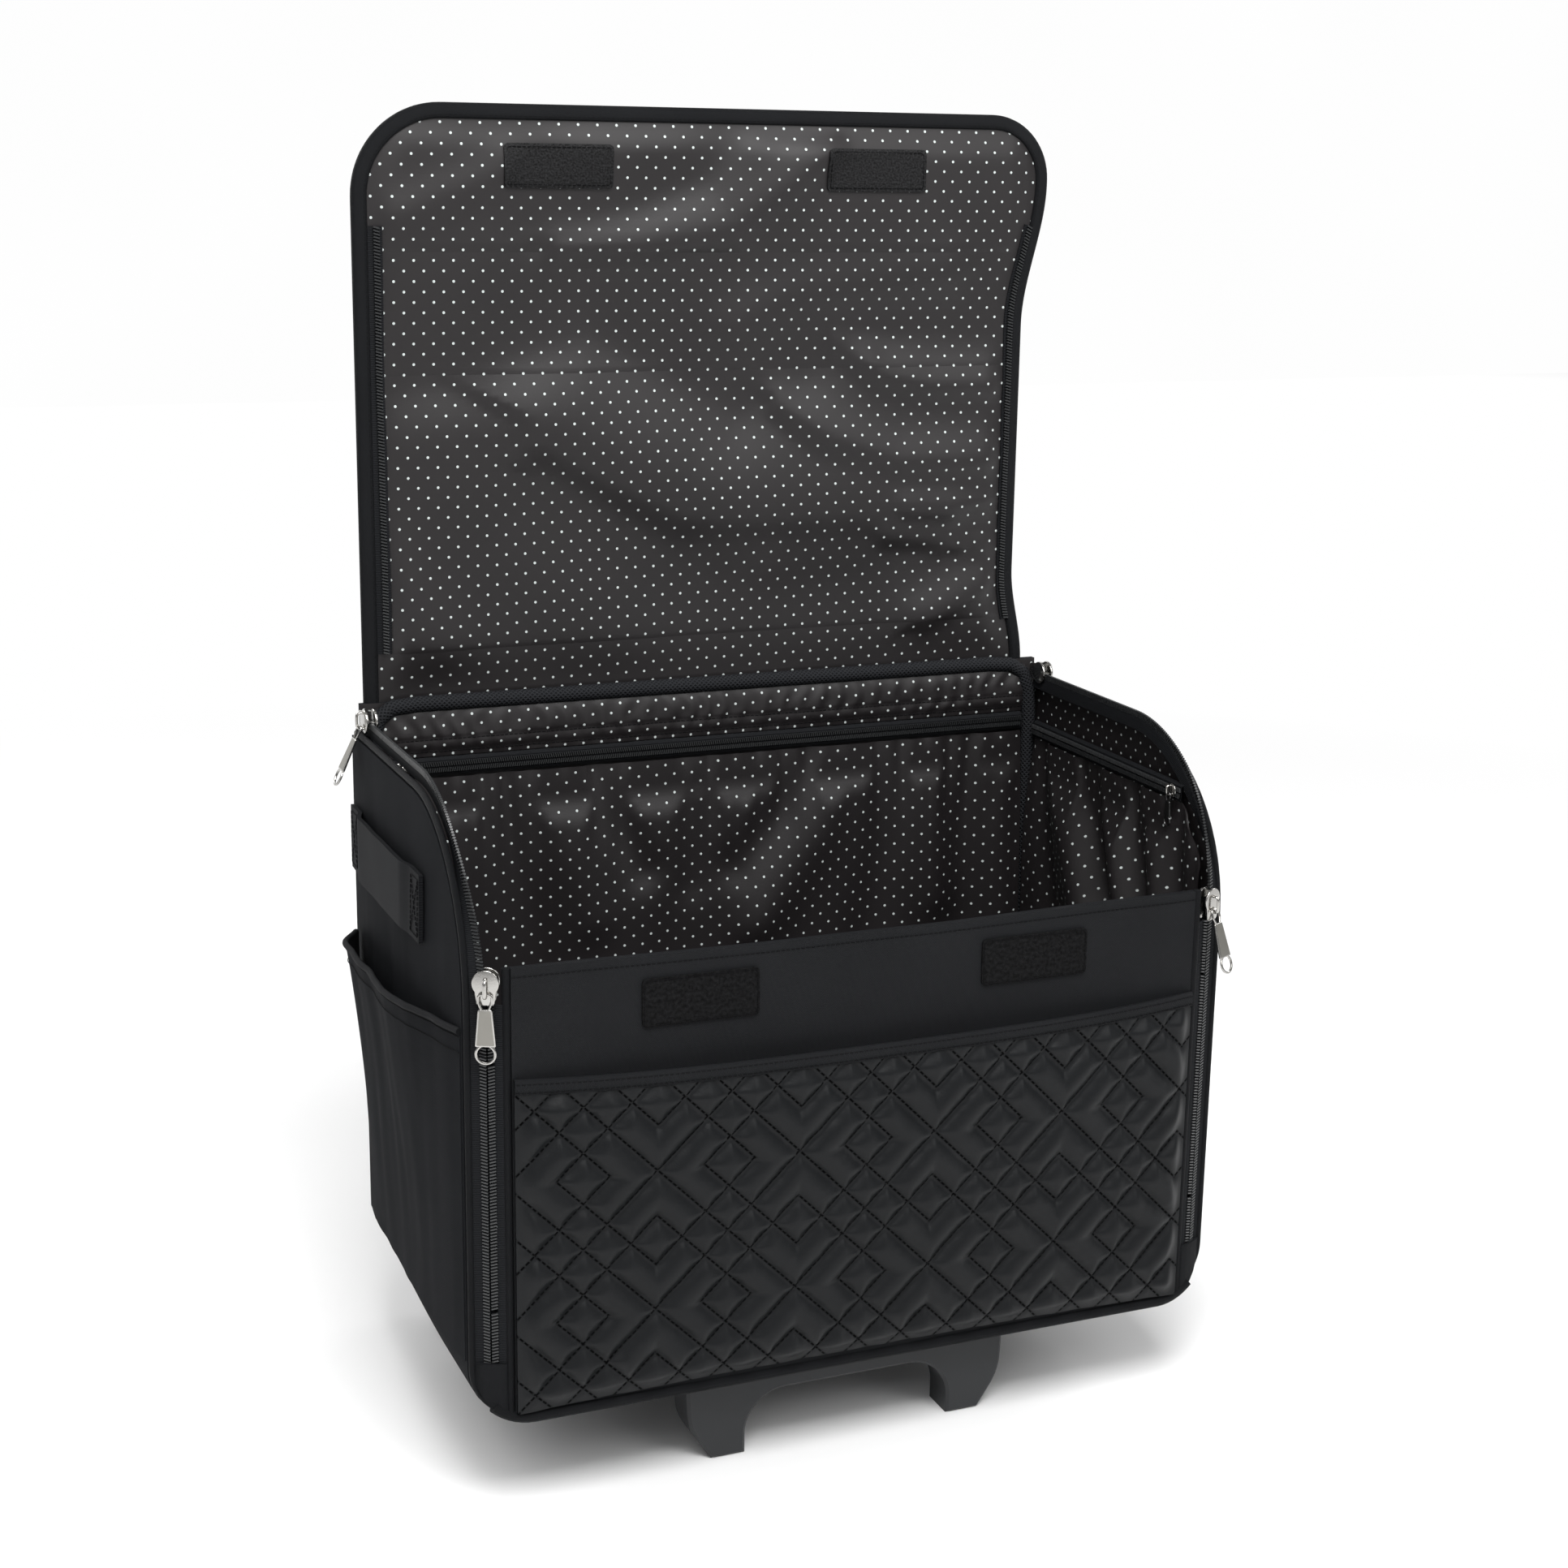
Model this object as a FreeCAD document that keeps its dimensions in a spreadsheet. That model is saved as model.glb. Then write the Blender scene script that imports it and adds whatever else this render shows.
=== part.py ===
import FreeCAD, Part
import math
import os
import re

# Soft-sided rolling case with a quilted front, built as separate pieces.
# Frame: X to the right, Y to the back, Z up, floor at Z = 0, millimetres and degrees.
# In the functions below, Y is counted from the outer face of the front panel; SHIFT moves it to the origin.

DRIVING = [
    # Case body
    ("case_width", 528, "outer faces of the side panels"),
    ("case_depth", 280, "front panel's outer face to back panel's outer face"),
    ("floor_gap", 62, "floor to the underside of the base"),
    ("wall", 5, "padded wall thickness"),
    ("bottom_radius", 38, "outer radius of the base's round corners"),
    ("origin_back", 143.9, "front panel's outer face to the origin"),
    ("clearance", 0.3, "gap between pieces that move against each other"),
    ("board_thick", 4, "stiff board on the base"),
    ("board_margin", 8, "board's edge to the walls"),
    # Zip line round each shoulder
    ("zip_height", 458.5, "height of the zip along the top of the sides"),
    ("zip_setback", 5.5, "front zips behind the front panel's face"),
    ("zip_radius", 116, "radius of the zip round the shoulder"),
    ("zip_arc_end", 17, "angle above the front where the shoulder's zip ends"),
    ("top_edge_inset", 14, "side panel's top edge below the zip"),
    ("front_edge_inset", 7.5, "side panel's front edge behind the zip"),
    ("front_zip_inset", 13.5, "front zip's middle in from the side's outer face"),
    ("band_angle", 25, "turn of the front zips towards the sides"),
    ("band_reach", 9.5, "zip's middle to the outer edge of its tape"),
    ("band_tape", 1, "thickness of the front zip's tape"),
    ("tape_thick", 2, "thickness of the shoulder zip's tape"),
    ("tape_overlap", 6, "tape sewn behind the side panel's edge"),
    ("chain_half", 4, "width of one row of teeth"),
    ("chain_gap", 1.1, "half the gap between the two rows"),
    ("chain_thick", 3.6, "thickness of the teeth"),
    ("front_zip_bottom", 103, "lower end of the front zips"),
    ("tab_overlap", 4, "end tab over the lower end of the zip"),
    ("tab_thick", 4.8, "thickness of the end tab with the zip's end inside"),
    # Piping and binding
    ("piping_radius", 2.5, "piping along the edges"),
    ("rope_radius", 3.2, "binding along the lid's hinge line"),
    ("corner_rope_radius", 3.5, "binding down the inner rear corners"),
    # Front panel and its pocket
    ("panel_inset", 13.5, "front panel's edge in from the front zip's middle"),
    ("panel_top", 361, "height of the front panel's top edge"),
    ("panel_thick", 5, "front panel's thickness"),
    ("hem_thick", 2, "hem that turns back over the bottom piping"),
    ("pocket_top", 291, "height of the pocket's mouth"),
    ("pocket_gap", 8, "room inside the pocket"),
    ("pocket_cloth", 3, "quilted cloth of the pocket"),
    ("pocket_margin", 0.5, "pocket's edge in from the panel's edge"),
    ("pocket_seam", 6, "sewn strip round the pocket"),
    ("mouth_binding", 9, "height of the binding on the pocket's mouth"),
    ("mouth_binding_thick", 1.2, "thickness of that binding"),
    # Hook and loop patches
    ("patch_centre", 116, "patches' middle from the case's middle"),
    ("patch_thick", 1.5, "thickness of the patches"),
    ("loop_width", 77, "loop patch along X"),
    ("loop_height", 31, "loop patch along Z"),
    ("loop_drop", 16, "loop patch's top edge below the panel's top edge"),
    ("hook_width", 76, "hook patch along X"),
    ("hook_height", 29, "hook patch along Z"),
    ("hook_margin", 24, "hook patch's edge to the lid's free edge"),
    # Lid
    ("lid_width", 509, "lid across"),
    ("lid_front_run", 54.5, "last bend to the free edge"),
    ("lid_thick", 5, "padded lid"),
    ("lid_corner", 60, "radius of the free corners"),
    ("lid_rise", 11, "hinge axis above the zip line"),
    ("lid_front_gap", 9, "closed lid's front face ahead of the front panel"),
    ("lid_bend_radius", 150, "radius that the closed lid bends round"),
    ("bend_angle", 30, "turn of each of the lid's three bends"),
    ("bend_gap", 0.4, "gap between the lid's stiff stretches"),
    ("lid_zip_inset", 14, "lid zip's middle in from the lid's edge"),
    ("lid_zip_start", 30, "hinge axis to the start of the lid's zips"),
    ("lid_zip_end", 78, "end of the lid's zips to the free edge"),
    ("lid_tape", 12, "width of the lid's zip tape"),
    ("lid_tape_thick", 1, "thickness of that tape"),
    ("lid_chain_thick", 3, "teeth on that tape"),
    ("lid_zip_gap", 1.6, "zip's end to a bend of the lid"),
    # Large sliders and pulls
    ("slider_width", 16.5, "large slider across its zip"),
    ("slider_length", 22, "large slider along its zip"),
    ("slider_neck", 11, "narrow end of the large slider"),
    ("slider_wing", 1.8, "thickness of each wing"),
    ("slider_gap", 4.6, "room between the wings"),
    ("slider_post", 1.4, "post that parts the teeth"),
    ("slider_post_length", 5, "post along the zip"),
    ("slider_bridge", 2.5, "width of the bridge"),
    ("slider_bridge_length", 13, "length of the bridge"),
    ("slider_eye", 3, "eye under the bridge"),
    ("slider_bar", 2, "thickness of the bridge"),
    ("slider_round", 4.5, "corner radius of the wings"),
    ("pull_length", 44, "large pull from its pivot to its end"),
    ("pull_width", 13, "large pull's wide end"),
    ("pull_head", 10, "large pull's head"),
    ("pull_thick", 1.6, "large pull's thickness"),
    ("pull_eye", 9, "length of the large pull's eye"),
    ("pull_rail", 1.9, "metal each side of that eye"),
    ("pull_hole", 4.5, "radius of the round hole near its end"),
    ("front_slider_height", 350, "front sliders as parked"),
    ("front_slider_travel", 225, "front sliders' way down"),
    ("rear_slider_inset", 20, "rear sliders' middle from the back"),
    ("right_front_lean", 18, "lean of the right front pull"),
    ("rear_lean", 25, "lean of the rear pulls"),
    # Small zips, sliders and pulls of the inner pockets
    ("small_width", 9.6, "small slider across its zip"),
    ("small_length", 13, "small slider along its zip"),
    ("small_neck", 7, "narrow end of the small slider"),
    ("small_wing", 1.2, "thickness of each wing"),
    ("small_gap", 2.6, "room between the wings"),
    ("small_post", 0.8, "post that parts the teeth"),
    ("small_post_length", 3, "post along the zip"),
    ("small_bridge", 1.6, "width of the bridge"),
    ("small_bridge_length", 8, "length of the bridge"),
    ("small_eye", 2.2, "eye under the bridge"),
    ("small_bar", 1.4, "thickness of the bridge"),
    ("small_round", 2.5, "corner radius of the wings"),
    ("small_pull_length", 24, "small pull from its pivot to its end"),
    ("small_pull_width", 8, "small pull's wide end"),
    ("small_pull_head", 6.4, "small pull's head"),
    ("small_pull_thick", 1.2, "small pull's thickness"),
    ("small_pull_eye", 5.6, "length of the small pull's eye"),
    ("small_pull_rail", 1.3, "metal each side of that eye"),
    ("small_pull_hole", 2.4, "radius of the round hole near its end"),
    ("small_chain_half", 2.6, "width of one row of small teeth"),
    ("small_chain_gap", 0.8, "half the gap between the small rows"),
    ("small_chain_thick", 2, "thickness of the small teeth"),
    ("small_tape", 1, "thickness of the small zip's tape"),
    ("small_channel", 6, "half the room behind a small zip"),
    ("small_rail", 6, "folded cloth above a small zip"),
    # Inner pockets
    ("inner_pocket_depth", 5.6, "gathered cloth of the inner pockets"),
    ("inner_pocket_bottom", 76, "lower edge of the rear inner pocket"),
    ("rear_pocket_margin", 12, "rear inner pocket's ends in from the side walls"),
    ("rear_zip_drop", 38.5, "rear inner zip below the shoulder zips"),
    ("rear_small_inset", 14, "rear small slider in from the zip's left end"),
    ("right_pocket_front", 50, "front edge of the right inner pocket"),
    ("right_pocket_margin", 13, "rear edge of the right inner pocket to the back wall"),
    ("right_zip_drop", 43.9, "right inner zip below the shoulder zips"),
    ("right_small_inset", 12, "right small slider in from the zip's front end"),
    # Outer slip pockets and grab straps
    ("slip_front_margin", 2, "front edge of the outer slip pockets to the side panel's front edge"),
    ("slip_margin", 12, "rear edge of the outer slip pockets to the case's back"),
    ("slip_bottom", 104, "lower edge of the outer slip pockets"),
    ("slip_mouth_front", 320, "mouth's height at its front"),
    ("slip_mouth_drop", 20, "mouth's fall from its front to its rear"),
    ("slip_gap", 6, "room inside the outer slip pockets"),
    ("slip_cloth", 3, "cloth of the outer slip pockets"),
    ("slip_seam", 5, "sewn strip round the outer slip pockets"),
    ("strap_length", 185, "grab straps along Y"),
    ("strap_margin", 8, "rear end of the grab straps to the case's back"),
    ("strap_height", 44, "width of the webbing"),
    ("strap_middle", 376, "height of the grab straps' middle"),
    ("strap_thick", 3, "thickness of the webbing"),
    ("strap_gap", 6, "finger room behind the webbing"),
    ("strap_tab", 20, "sewn end of the webbing"),
    ("strap_ramp", 14, "slope between the sewn end and the raised middle"),
    # Front foot
    ("foot_width", 232, "foot at its top"),
    ("foot_depth", 26, "foot along Y"),
    ("foot_setback", 20, "foot's front face behind the front panel's face"),
    ("foot_shoulder", 114, "outer knee of each leg from the middle"),
    ("foot_knee", 24, "height of that knee"),
    ("foot_knee_radius", 40, "radius of that knee"),
    ("leg_outside", 98, "outside of each leg's sole from the middle"),
    ("leg_width", 24, "width of each leg's sole"),
    ("arch_height", 42, "height of the arch"),
    ("arch_radius", 29, "radius of the arch's corners"),
    ("foot_edge", 2, "rounding of the foot's front edges"),
    # Rear bracket and wheels
    ("wheel_radius", 29.5, "outer radius of the tyres"),
    ("wheel_width", 22, "width of the wheels"),
    ("wheel_spacing", 410, "middle to middle of the wheels"),
    ("wheel_setback", 12, "axles ahead of the back panel's outer face"),
    ("tyre_thick", 8, "thickness of the tyres"),
    ("tyre_round", 5, "rounding of the tyres' shoulders"),
    ("hub_recess", 4, "recess in the hubs' faces"),
    ("hub_boss", 8, "radius of the hubs' boss"),
    ("axle_radius", 3, "wheel axles"),
    ("axle_play", 0.05, "running clearance of the hubs on the axles"),
    ("cheek", 4, "plates each side of a wheel"),
    ("cheek_gap", 2, "wheel to those plates"),
    ("cheek_round", 16, "half the plates' depth"),
    ("cheek_low", 17, "lower edge of those plates"),
    ("beam_height", 16, "bracket's beam under the base"),
    ("beam_front", 52, "beam's front face ahead of the back panel's outer face"),
    ("beam_rib", 6, "rib ahead of each wheel"),
    # Drawn-out handle
    ("tube_spacing", 230, "middle to middle of the handle's tubes"),
    ("handle_setback", 12, "tubes' middle behind the back panel's outer face"),
    ("tube_width", 24, "outer tube along X"),
    ("tube_depth", 14, "outer tube along Y"),
    ("tube_wall", 1.2, "tube wall"),
    ("tube_play", 0.4, "gap between one tube and the next"),
    ("tube_round", 4, "corner radius of the outer tube"),
    ("sleeve_cloth", 2.4, "cloth of the sewn sleeves"),
    ("sleeve_low", 80, "lower end of the sleeves"),
    ("sleeve_drop", 10, "upper end of the sleeves below the bezel"),
    ("bezel_drop", 12.5, "top of the bezel below the shoulder zips"),
    ("bezel_height", 12, "height of the bezel"),
    ("bezel_margin", 9, "bezel past the outer tubes"),
    ("tube_step", 4, "one tube's lower end above the next one's"),
    ("grip_depth", 18.2, "grip along Y"),
    ("grip_height", 36, "grip along Z"),
    ("grip_leg", 34, "width of the grip's legs"),
    ("grip_bar", 19, "height of the grip's bar"),
    ("grip_round", 12, "rounding of the grip's corners"),
    ("grip_socket", 24, "tubes' way into the grip"),
    ("button_width", 30, "release button along X"),
    ("button_depth", 9.6, "release button along Y"),
    ("button_height", 10, "release button along Z"),
    ("button_proud", 3, "release button above the grip"),
    ("button_travel", 2.5, "release button's way down"),
    # Screws
    ("screw_radius", 2, "screw shanks"),
    ("screw_head", 4, "screw heads"),
    ("screw_head_height", 2.4, "height of the screw heads"),
    ("screw_bite", 9, "screws' way into the plastic"),
    ("foot_screw_spacing", 160, "screws of the foot along X"),
    ("bracket_screw_spacing", 260, "screws of the rear bracket along X"),
    ("bracket_screw_inset", 24, "those screws ahead of the back panel's outer face"),
]

DERIVED = [
    ("half_width", "case_width / 2"),
    ("inner_half", "half_width - wall"),
    ("base_top", "floor_gap + wall"),
    ("inner_back", "case_depth - wall"),
    ("side_front", "zip_setback + front_edge_inset"),
    ("side_top", "zip_height - top_edge_inset"),
    ("side_radius", "zip_radius - (top_edge_inset + front_edge_inset) / 2"),
    ("front_zip_x", "half_width - front_zip_inset"),
    ("panel_width", "2 * (front_zip_x - panel_inset)"),
    ("top_zip_x", "inner_half - tape_thick / 2 - chain_thick / 4"),
    ("piping_front", "side_front - piping_radius"),
    ("piping_x", "half_width - wall / 2"),
    ("piping_low", "floor_gap + wall / 2"),
    ("panel_low", "piping_low + piping_radius + clearance"),
    ("hinge_back", "case_depth - wall / 2"),
    ("hinge_height", "zip_height + lid_rise"),
    ("half_bend_run", "lid_bend_radius * tan(bend_angle / 2)"),
    ("lid_rear_run", "hinge_back + lid_front_gap - lid_bend_radius + half_bend_run"),
    ("lid_arc_run", "2 * half_bend_run"),
    ("lid_length", "lid_rear_run + 2 * lid_arc_run + lid_front_run"),
    ("axle_height", "wheel_radius"),
    ("axle_back", "case_depth - wheel_setback"),
    ("tube_back", "case_depth + handle_setback"),
    ("tube_x", "tube_spacing / 2"),
    ("wheel_x", "wheel_spacing / 2"),
    ("beam_low", "floor_gap - beam_height"),
    ("bezel_top", "zip_height - bezel_drop"),
    ("sleeve_top", "bezel_top - bezel_height - sleeve_drop"),
    ("grip_low", "bezel_top + clearance"),
    ("grip_front", "tube_back - grip_depth / 2"),
    ("rear_pocket_width", "2 * (inner_half - rear_pocket_margin)"),
    ("rear_zip_height", "zip_height - rear_zip_drop"),
    ("right_zip_height", "zip_height - right_zip_drop"),
    ("right_pocket_back", "inner_back - right_pocket_margin"),
    ("slip_front", "side_front + slip_front_margin"),
    ("slip_back", "case_depth - slip_margin"),
    ("slip_mouth_back", "slip_mouth_front - slip_mouth_drop"),
    ("strap_back", "case_depth - strap_margin"),
    ("strap_front", "strap_back - strap_length"),
]

FUNCTION_WORDS = ("tan", "sin", "cos")
SIDES = (("left", -1), ("right", 1))

DOC = FreeCAD.newDocument("rolling_case")
SHEET = DOC.addObject("Spreadsheet::Sheet", "Sizes")
NODES = []


def fill_sheet():
    """Write the driving sizes as numbers and the sizes that follow from them as formulas."""
    row = 1
    for name, value, note in DRIVING:
        SHEET.set("A%d" % row, str(value))
        SHEET.setAlias("A%d" % row, name)
        SHEET.set("B%d" % row, note)
        row += 1
    for name, formula in DERIVED:
        SHEET.set("A%d" % row, "=" + formula)
        SHEET.setAlias("A%d" % row, name)
        row += 1
    DOC.recompute()


def size(name):
    """Return a cell of the sheet as a number."""
    value = SHEET.get(name)
    return float(getattr(value, "Value", value))


def bound(text):
    """Point the words of a formula at the sheet's cells."""
    return re.sub(r"[a-z_]{2,}", lambda word: word[0] if word[0] in FUNCTION_WORDS else "Sizes." + word[0], text)


def keep(label, piece):
    """Name a finished piece and put it on the list of nodes."""
    piece.Label = label
    NODES.append(piece)
    return piece


def block(name, x, y, z):
    """Make a box from pairs of formulas, low and high, along each axis."""
    piece = DOC.addObject("Part::Box", name)
    for prop, pair in (("Length", x), ("Width", y), ("Height", z)):
        piece.setExpression(prop, bound("(%s) - (%s)" % (pair[1], pair[0])))
    piece.setExpression("Placement.Base.x", bound(x[0]))
    piece.setExpression("Placement.Base.y", bound("(%s) - origin_back" % y[0]))
    piece.setExpression("Placement.Base.z", bound(z[0]))
    return piece


def mirrored_block(name, sign, x, y, z):
    """Make a box on the right side, or its mirror image on the left."""
    if sign < 0:
        x = ("-(%s)" % x[1], "-(%s)" % x[0])
    return block(name, x, y, z)


AXIS_TURNS = {
    "x": FreeCAD.Rotation(FreeCAD.Vector(0, 1, 0), 90),
    "y": FreeCAD.Rotation(FreeCAD.Vector(1, 0, 0), -90),
    "z": FreeCAD.Rotation(),
}


def rod(name, axis, radius, length, start):
    """Make a cylinder along an axis from formulas for its radius, length and start."""
    piece = DOC.addObject("Part::Cylinder", name)
    piece.Placement = FreeCAD.Placement(FreeCAD.Vector(), AXIS_TURNS[axis])
    piece.setExpression("Radius", bound(radius))
    piece.setExpression("Height", bound(length))
    piece.setExpression("Placement.Base.x", bound(start[0]))
    piece.setExpression("Placement.Base.y", bound("(%s) - origin_back" % start[1]))
    piece.setExpression("Placement.Base.z", bound(start[2]))
    return piece


def join(name, pieces):
    """Fuse pieces into one solid."""
    piece = DOC.addObject("Part::MultiFuse", name)
    piece.Shapes = pieces
    return piece


def cut(name, base, tools):
    """Cut tools out of a piece."""
    piece = DOC.addObject("Part::Cut", name)
    piece.Base = base
    piece.Tool = tools[0] if len(tools) == 1 else join(name + "_tools", tools)
    return piece


def cluster(name, pieces):
    """Hold separate solids in one node."""
    piece = DOC.addObject("Part::Compound", name)
    piece.Links = pieces
    return piece


def rounded(points):
    """Return the edges of a closed outline whose points may carry a corner radius."""
    count = len(points)
    corners = []
    for index, point in enumerate(points):
        here = FreeCAD.Vector(point[0], point[1], 0)
        radius = point[2] if len(point) > 2 else 0
        if radius <= 0:
            corners.append((here, None, here))
            continue
        before = points[index - 1]
        after = points[(index + 1) % count]
        back = (FreeCAD.Vector(before[0], before[1], 0) - here).normalize()
        ahead = (FreeCAD.Vector(after[0], after[1], 0) - here).normalize()
        half = back.getAngle(ahead) / 2
        middle = (back + ahead).normalize()
        reach = radius / math.tan(half)
        crown = here + middle * (radius / math.sin(half) - radius)
        corners.append((here + back * reach, crown, here + ahead * reach))
    edges = []
    for index, (start, crown, end) in enumerate(corners):
        if crown is not None:
            edges.append(Part.Arc(start, crown, end))
        following = corners[(index + 1) % count][0]
        if end.distanceToPoint(following) > Part.Precision.confusion():
            edges.append(Part.LineSegment(end, following))
    return edges


def circle(x, y, radius):
    """Return a round outline."""
    return [Part.Circle(FreeCAD.Vector(x, y, 0), FreeCAD.Vector(0, 0, 1), radius)]


def drawing(body, plane, outlines):
    """Draw outlines in a sketch on one of a body's own planes."""
    sketch = body.newObject("Sketcher::SketchObject", body.Name + "_sketch")
    sketch.AttachmentSupport = ([f for f in body.Origin.OriginFeatures if f.Role == plane][0], "")
    sketch.MapMode = "FlatFace"
    for outline in outlines:
        sketch.addGeometry(outline, False)
    return sketch


PLANE_AXIS = {"XY_Plane": "z", "XZ_Plane": "y", "YZ_Plane": "x"}


def pad(name, plane, outlines, low, high):
    """Pad a sketch from one formula to another along its plane's axis."""
    body = DOC.addObject("PartDesign::Body", name)
    sketch = drawing(body, plane, outlines)
    feature = body.newObject("PartDesign::Pad", name + "_pad")
    feature.Profile = sketch
    feature.setExpression("Length", bound("(%s) - (%s)" % (high, low)))
    feature.Reversed = plane == "XZ_Plane"
    axis = PLANE_AXIS[plane]
    start = "(%s) - origin_back" % low if axis == "y" else low
    body.setExpression("Placement.Base." + axis, bound(start))
    return body


def shift(points):
    """Move the Y of an outline's points, the first of each pair, to the origin."""
    return [(point[0] - size("origin_back"),) + tuple(point[1:]) for point in points]


def shift_plan(points):
    """Move the Y of a plan's points, the second of each pair, to the origin."""
    return [(point[0], point[1] - size("origin_back")) + tuple(point[2:]) for point in points]


def outward(sign, low, high):
    """Order two formulas that are counted outward from the middle on either side."""
    return (low, high) if sign > 0 else ("-(%s)" % high, "-(%s)" % low)


def build_walls():
    """Base with round corners, back, sides and the board inside."""
    half, inner = size("half_width"), size("inner_half")
    low, top, radius, wall = size("floor_gap"), size("base_top"), size("bottom_radius"), size("wall")
    spring = low + radius
    tray = rounded([
        (-half, spring), (-half, low, radius), (half, low, radius), (half, spring),
        (inner, spring), (inner, top, radius - wall), (-inner, top, radius - wall), (-inner, spring),
    ])
    keep("base_panel", pad("base_panel", "XZ_Plane", [tray], "side_front", "case_depth"))
    crest = size("hinge_height") - size("rope_radius")
    back = rounded([
        (-inner, crest), (-inner, top, radius - wall), (inner, top, radius - wall), (inner, crest),
    ])
    keep("back_panel", pad("back_panel", "XZ_Plane", [back], "inner_back", "case_depth"))
    side = rounded(shift([
        (size("side_front"), spring), (size("case_depth"), spring), (size("case_depth"), size("side_top")),
        (size("side_front"), size("side_top"), size("side_radius")),
    ]))
    for word, sign in SIDES:
        name = word + "_side_panel"
        keep(name, pad(name, "YZ_Plane", [side], *outward(sign, "inner_half", "half_width")))
    flat = "half_width - bottom_radius"
    keep("base_board", block(
        "base_board", ("-(%s)" % flat, flat),
        ("side_front + board_margin", "inner_back - board_margin"), ("base_top", "base_top + board_thick")))


def shoulder_band(outer, inner):
    """Return the outline between two insets from the zip line, from the rear to the end of the arc."""
    middle_y = size("zip_setback") + size("zip_radius") - size("origin_back")
    middle_z = size("zip_height") - size("zip_radius")
    rear = size("inner_back") - 2 * size("corner_rope_radius") - size("origin_back")
    end = math.radians(180 - size("zip_arc_end"))
    crown = (end + math.pi / 2) / 2

    def at(inset, angle):
        radius = size("zip_radius") - inset
        return FreeCAD.Vector(middle_y + radius * math.cos(angle), middle_z + radius * math.sin(angle), 0)

    def rear_at(inset):
        return FreeCAD.Vector(rear, size("zip_height") - inset, 0)

    straight = math.pi / 2
    return [
        Part.LineSegment(rear_at(outer), at(outer, straight)),
        Part.Arc(at(outer, straight), at(outer, crown), at(outer, end)),
        Part.LineSegment(at(outer, end), at(inner, end)),
        Part.Arc(at(inner, end), at(inner, crown), at(inner, straight)),
        Part.LineSegment(at(inner, straight), rear_at(inner)),
        Part.LineSegment(rear_at(inner), rear_at(outer)),
    ]


def band_strip(sign, start, end, thick):
    """Return the plan of a strip across the front zip's band, counted outward from the zip's middle."""
    angle = math.radians(size("band_angle"))
    along = (math.cos(angle), math.sin(angle))
    half = thick / 2
    points = []
    for run, rise in ((start, -half), (end, -half), (end, half), (start, half)):
        x = size("front_zip_x") + run * along[0] - rise * along[1]
        y = size("zip_setback") + run * along[1] + rise * along[0]
        points.append((sign * x, y))
    return rounded(shift_plan(points))


def build_side_zips():
    """Tape and teeth sewn to each side, over the shoulder and down the front, and the end tabs."""
    near = size("chain_gap")
    far = near + size("chain_half")
    slider_top = "front_slider_height + slider_length / 2"
    for word, sign in SIDES:
        tape_far = size("top_edge_inset") + size("tape_overlap")
        pieces = [
            pad(word + "_shoulder_tape", "YZ_Plane", [shoulder_band(far, tape_far)],
                *outward(sign, "inner_half - tape_thick", "inner_half")),
            pad(word + "_shoulder_teeth", "YZ_Plane", [shoulder_band(near, far)],
                *outward(sign, "top_zip_x - chain_thick / 2", "top_zip_x + chain_thick / 2")),
            pad(word + "_front_tape", "XY_Plane", [band_strip(sign, far, size("band_reach"), size("band_tape"))],
                "front_zip_bottom", slider_top),
            pad(word + "_front_teeth", "XY_Plane", [band_strip(sign, near, far, size("chain_thick"))],
                "front_zip_bottom", slider_top),
        ]
        keep(word + "_side_zip", cluster(word + "_side_zip", pieces))
    inside = size("piping_radius") + size("clearance") - size("band_reach") - size("band_tape")
    tabs = []
    for word, sign in SIDES:
        strip = pad(word + "_end_strip", "XY_Plane",
                    [band_strip(sign, inside, size("band_reach"), size("tab_thick"))],
                    "panel_low", "front_zip_bottom")
        square = mirrored_block(word + "_end_square", sign, ("half_width - bottom_radius", "half_width + wall"),
                                ("-bottom_radius", "bottom_radius"), ("floor_gap", "floor_gap + bottom_radius"))
        core = rod(word + "_end_core", "y", "bottom_radius - wall / 2", "4 * bottom_radius",
                   ("%d * (half_width - bottom_radius)" % sign, "-2 * bottom_radius", "floor_gap + bottom_radius"))
        tabs.append(cut(word + "_end_tab", strip, [cut(word + "_end_waste", square, [core])]))
    keep("zip_end_tabs", cluster("zip_end_tabs", tabs))


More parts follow.
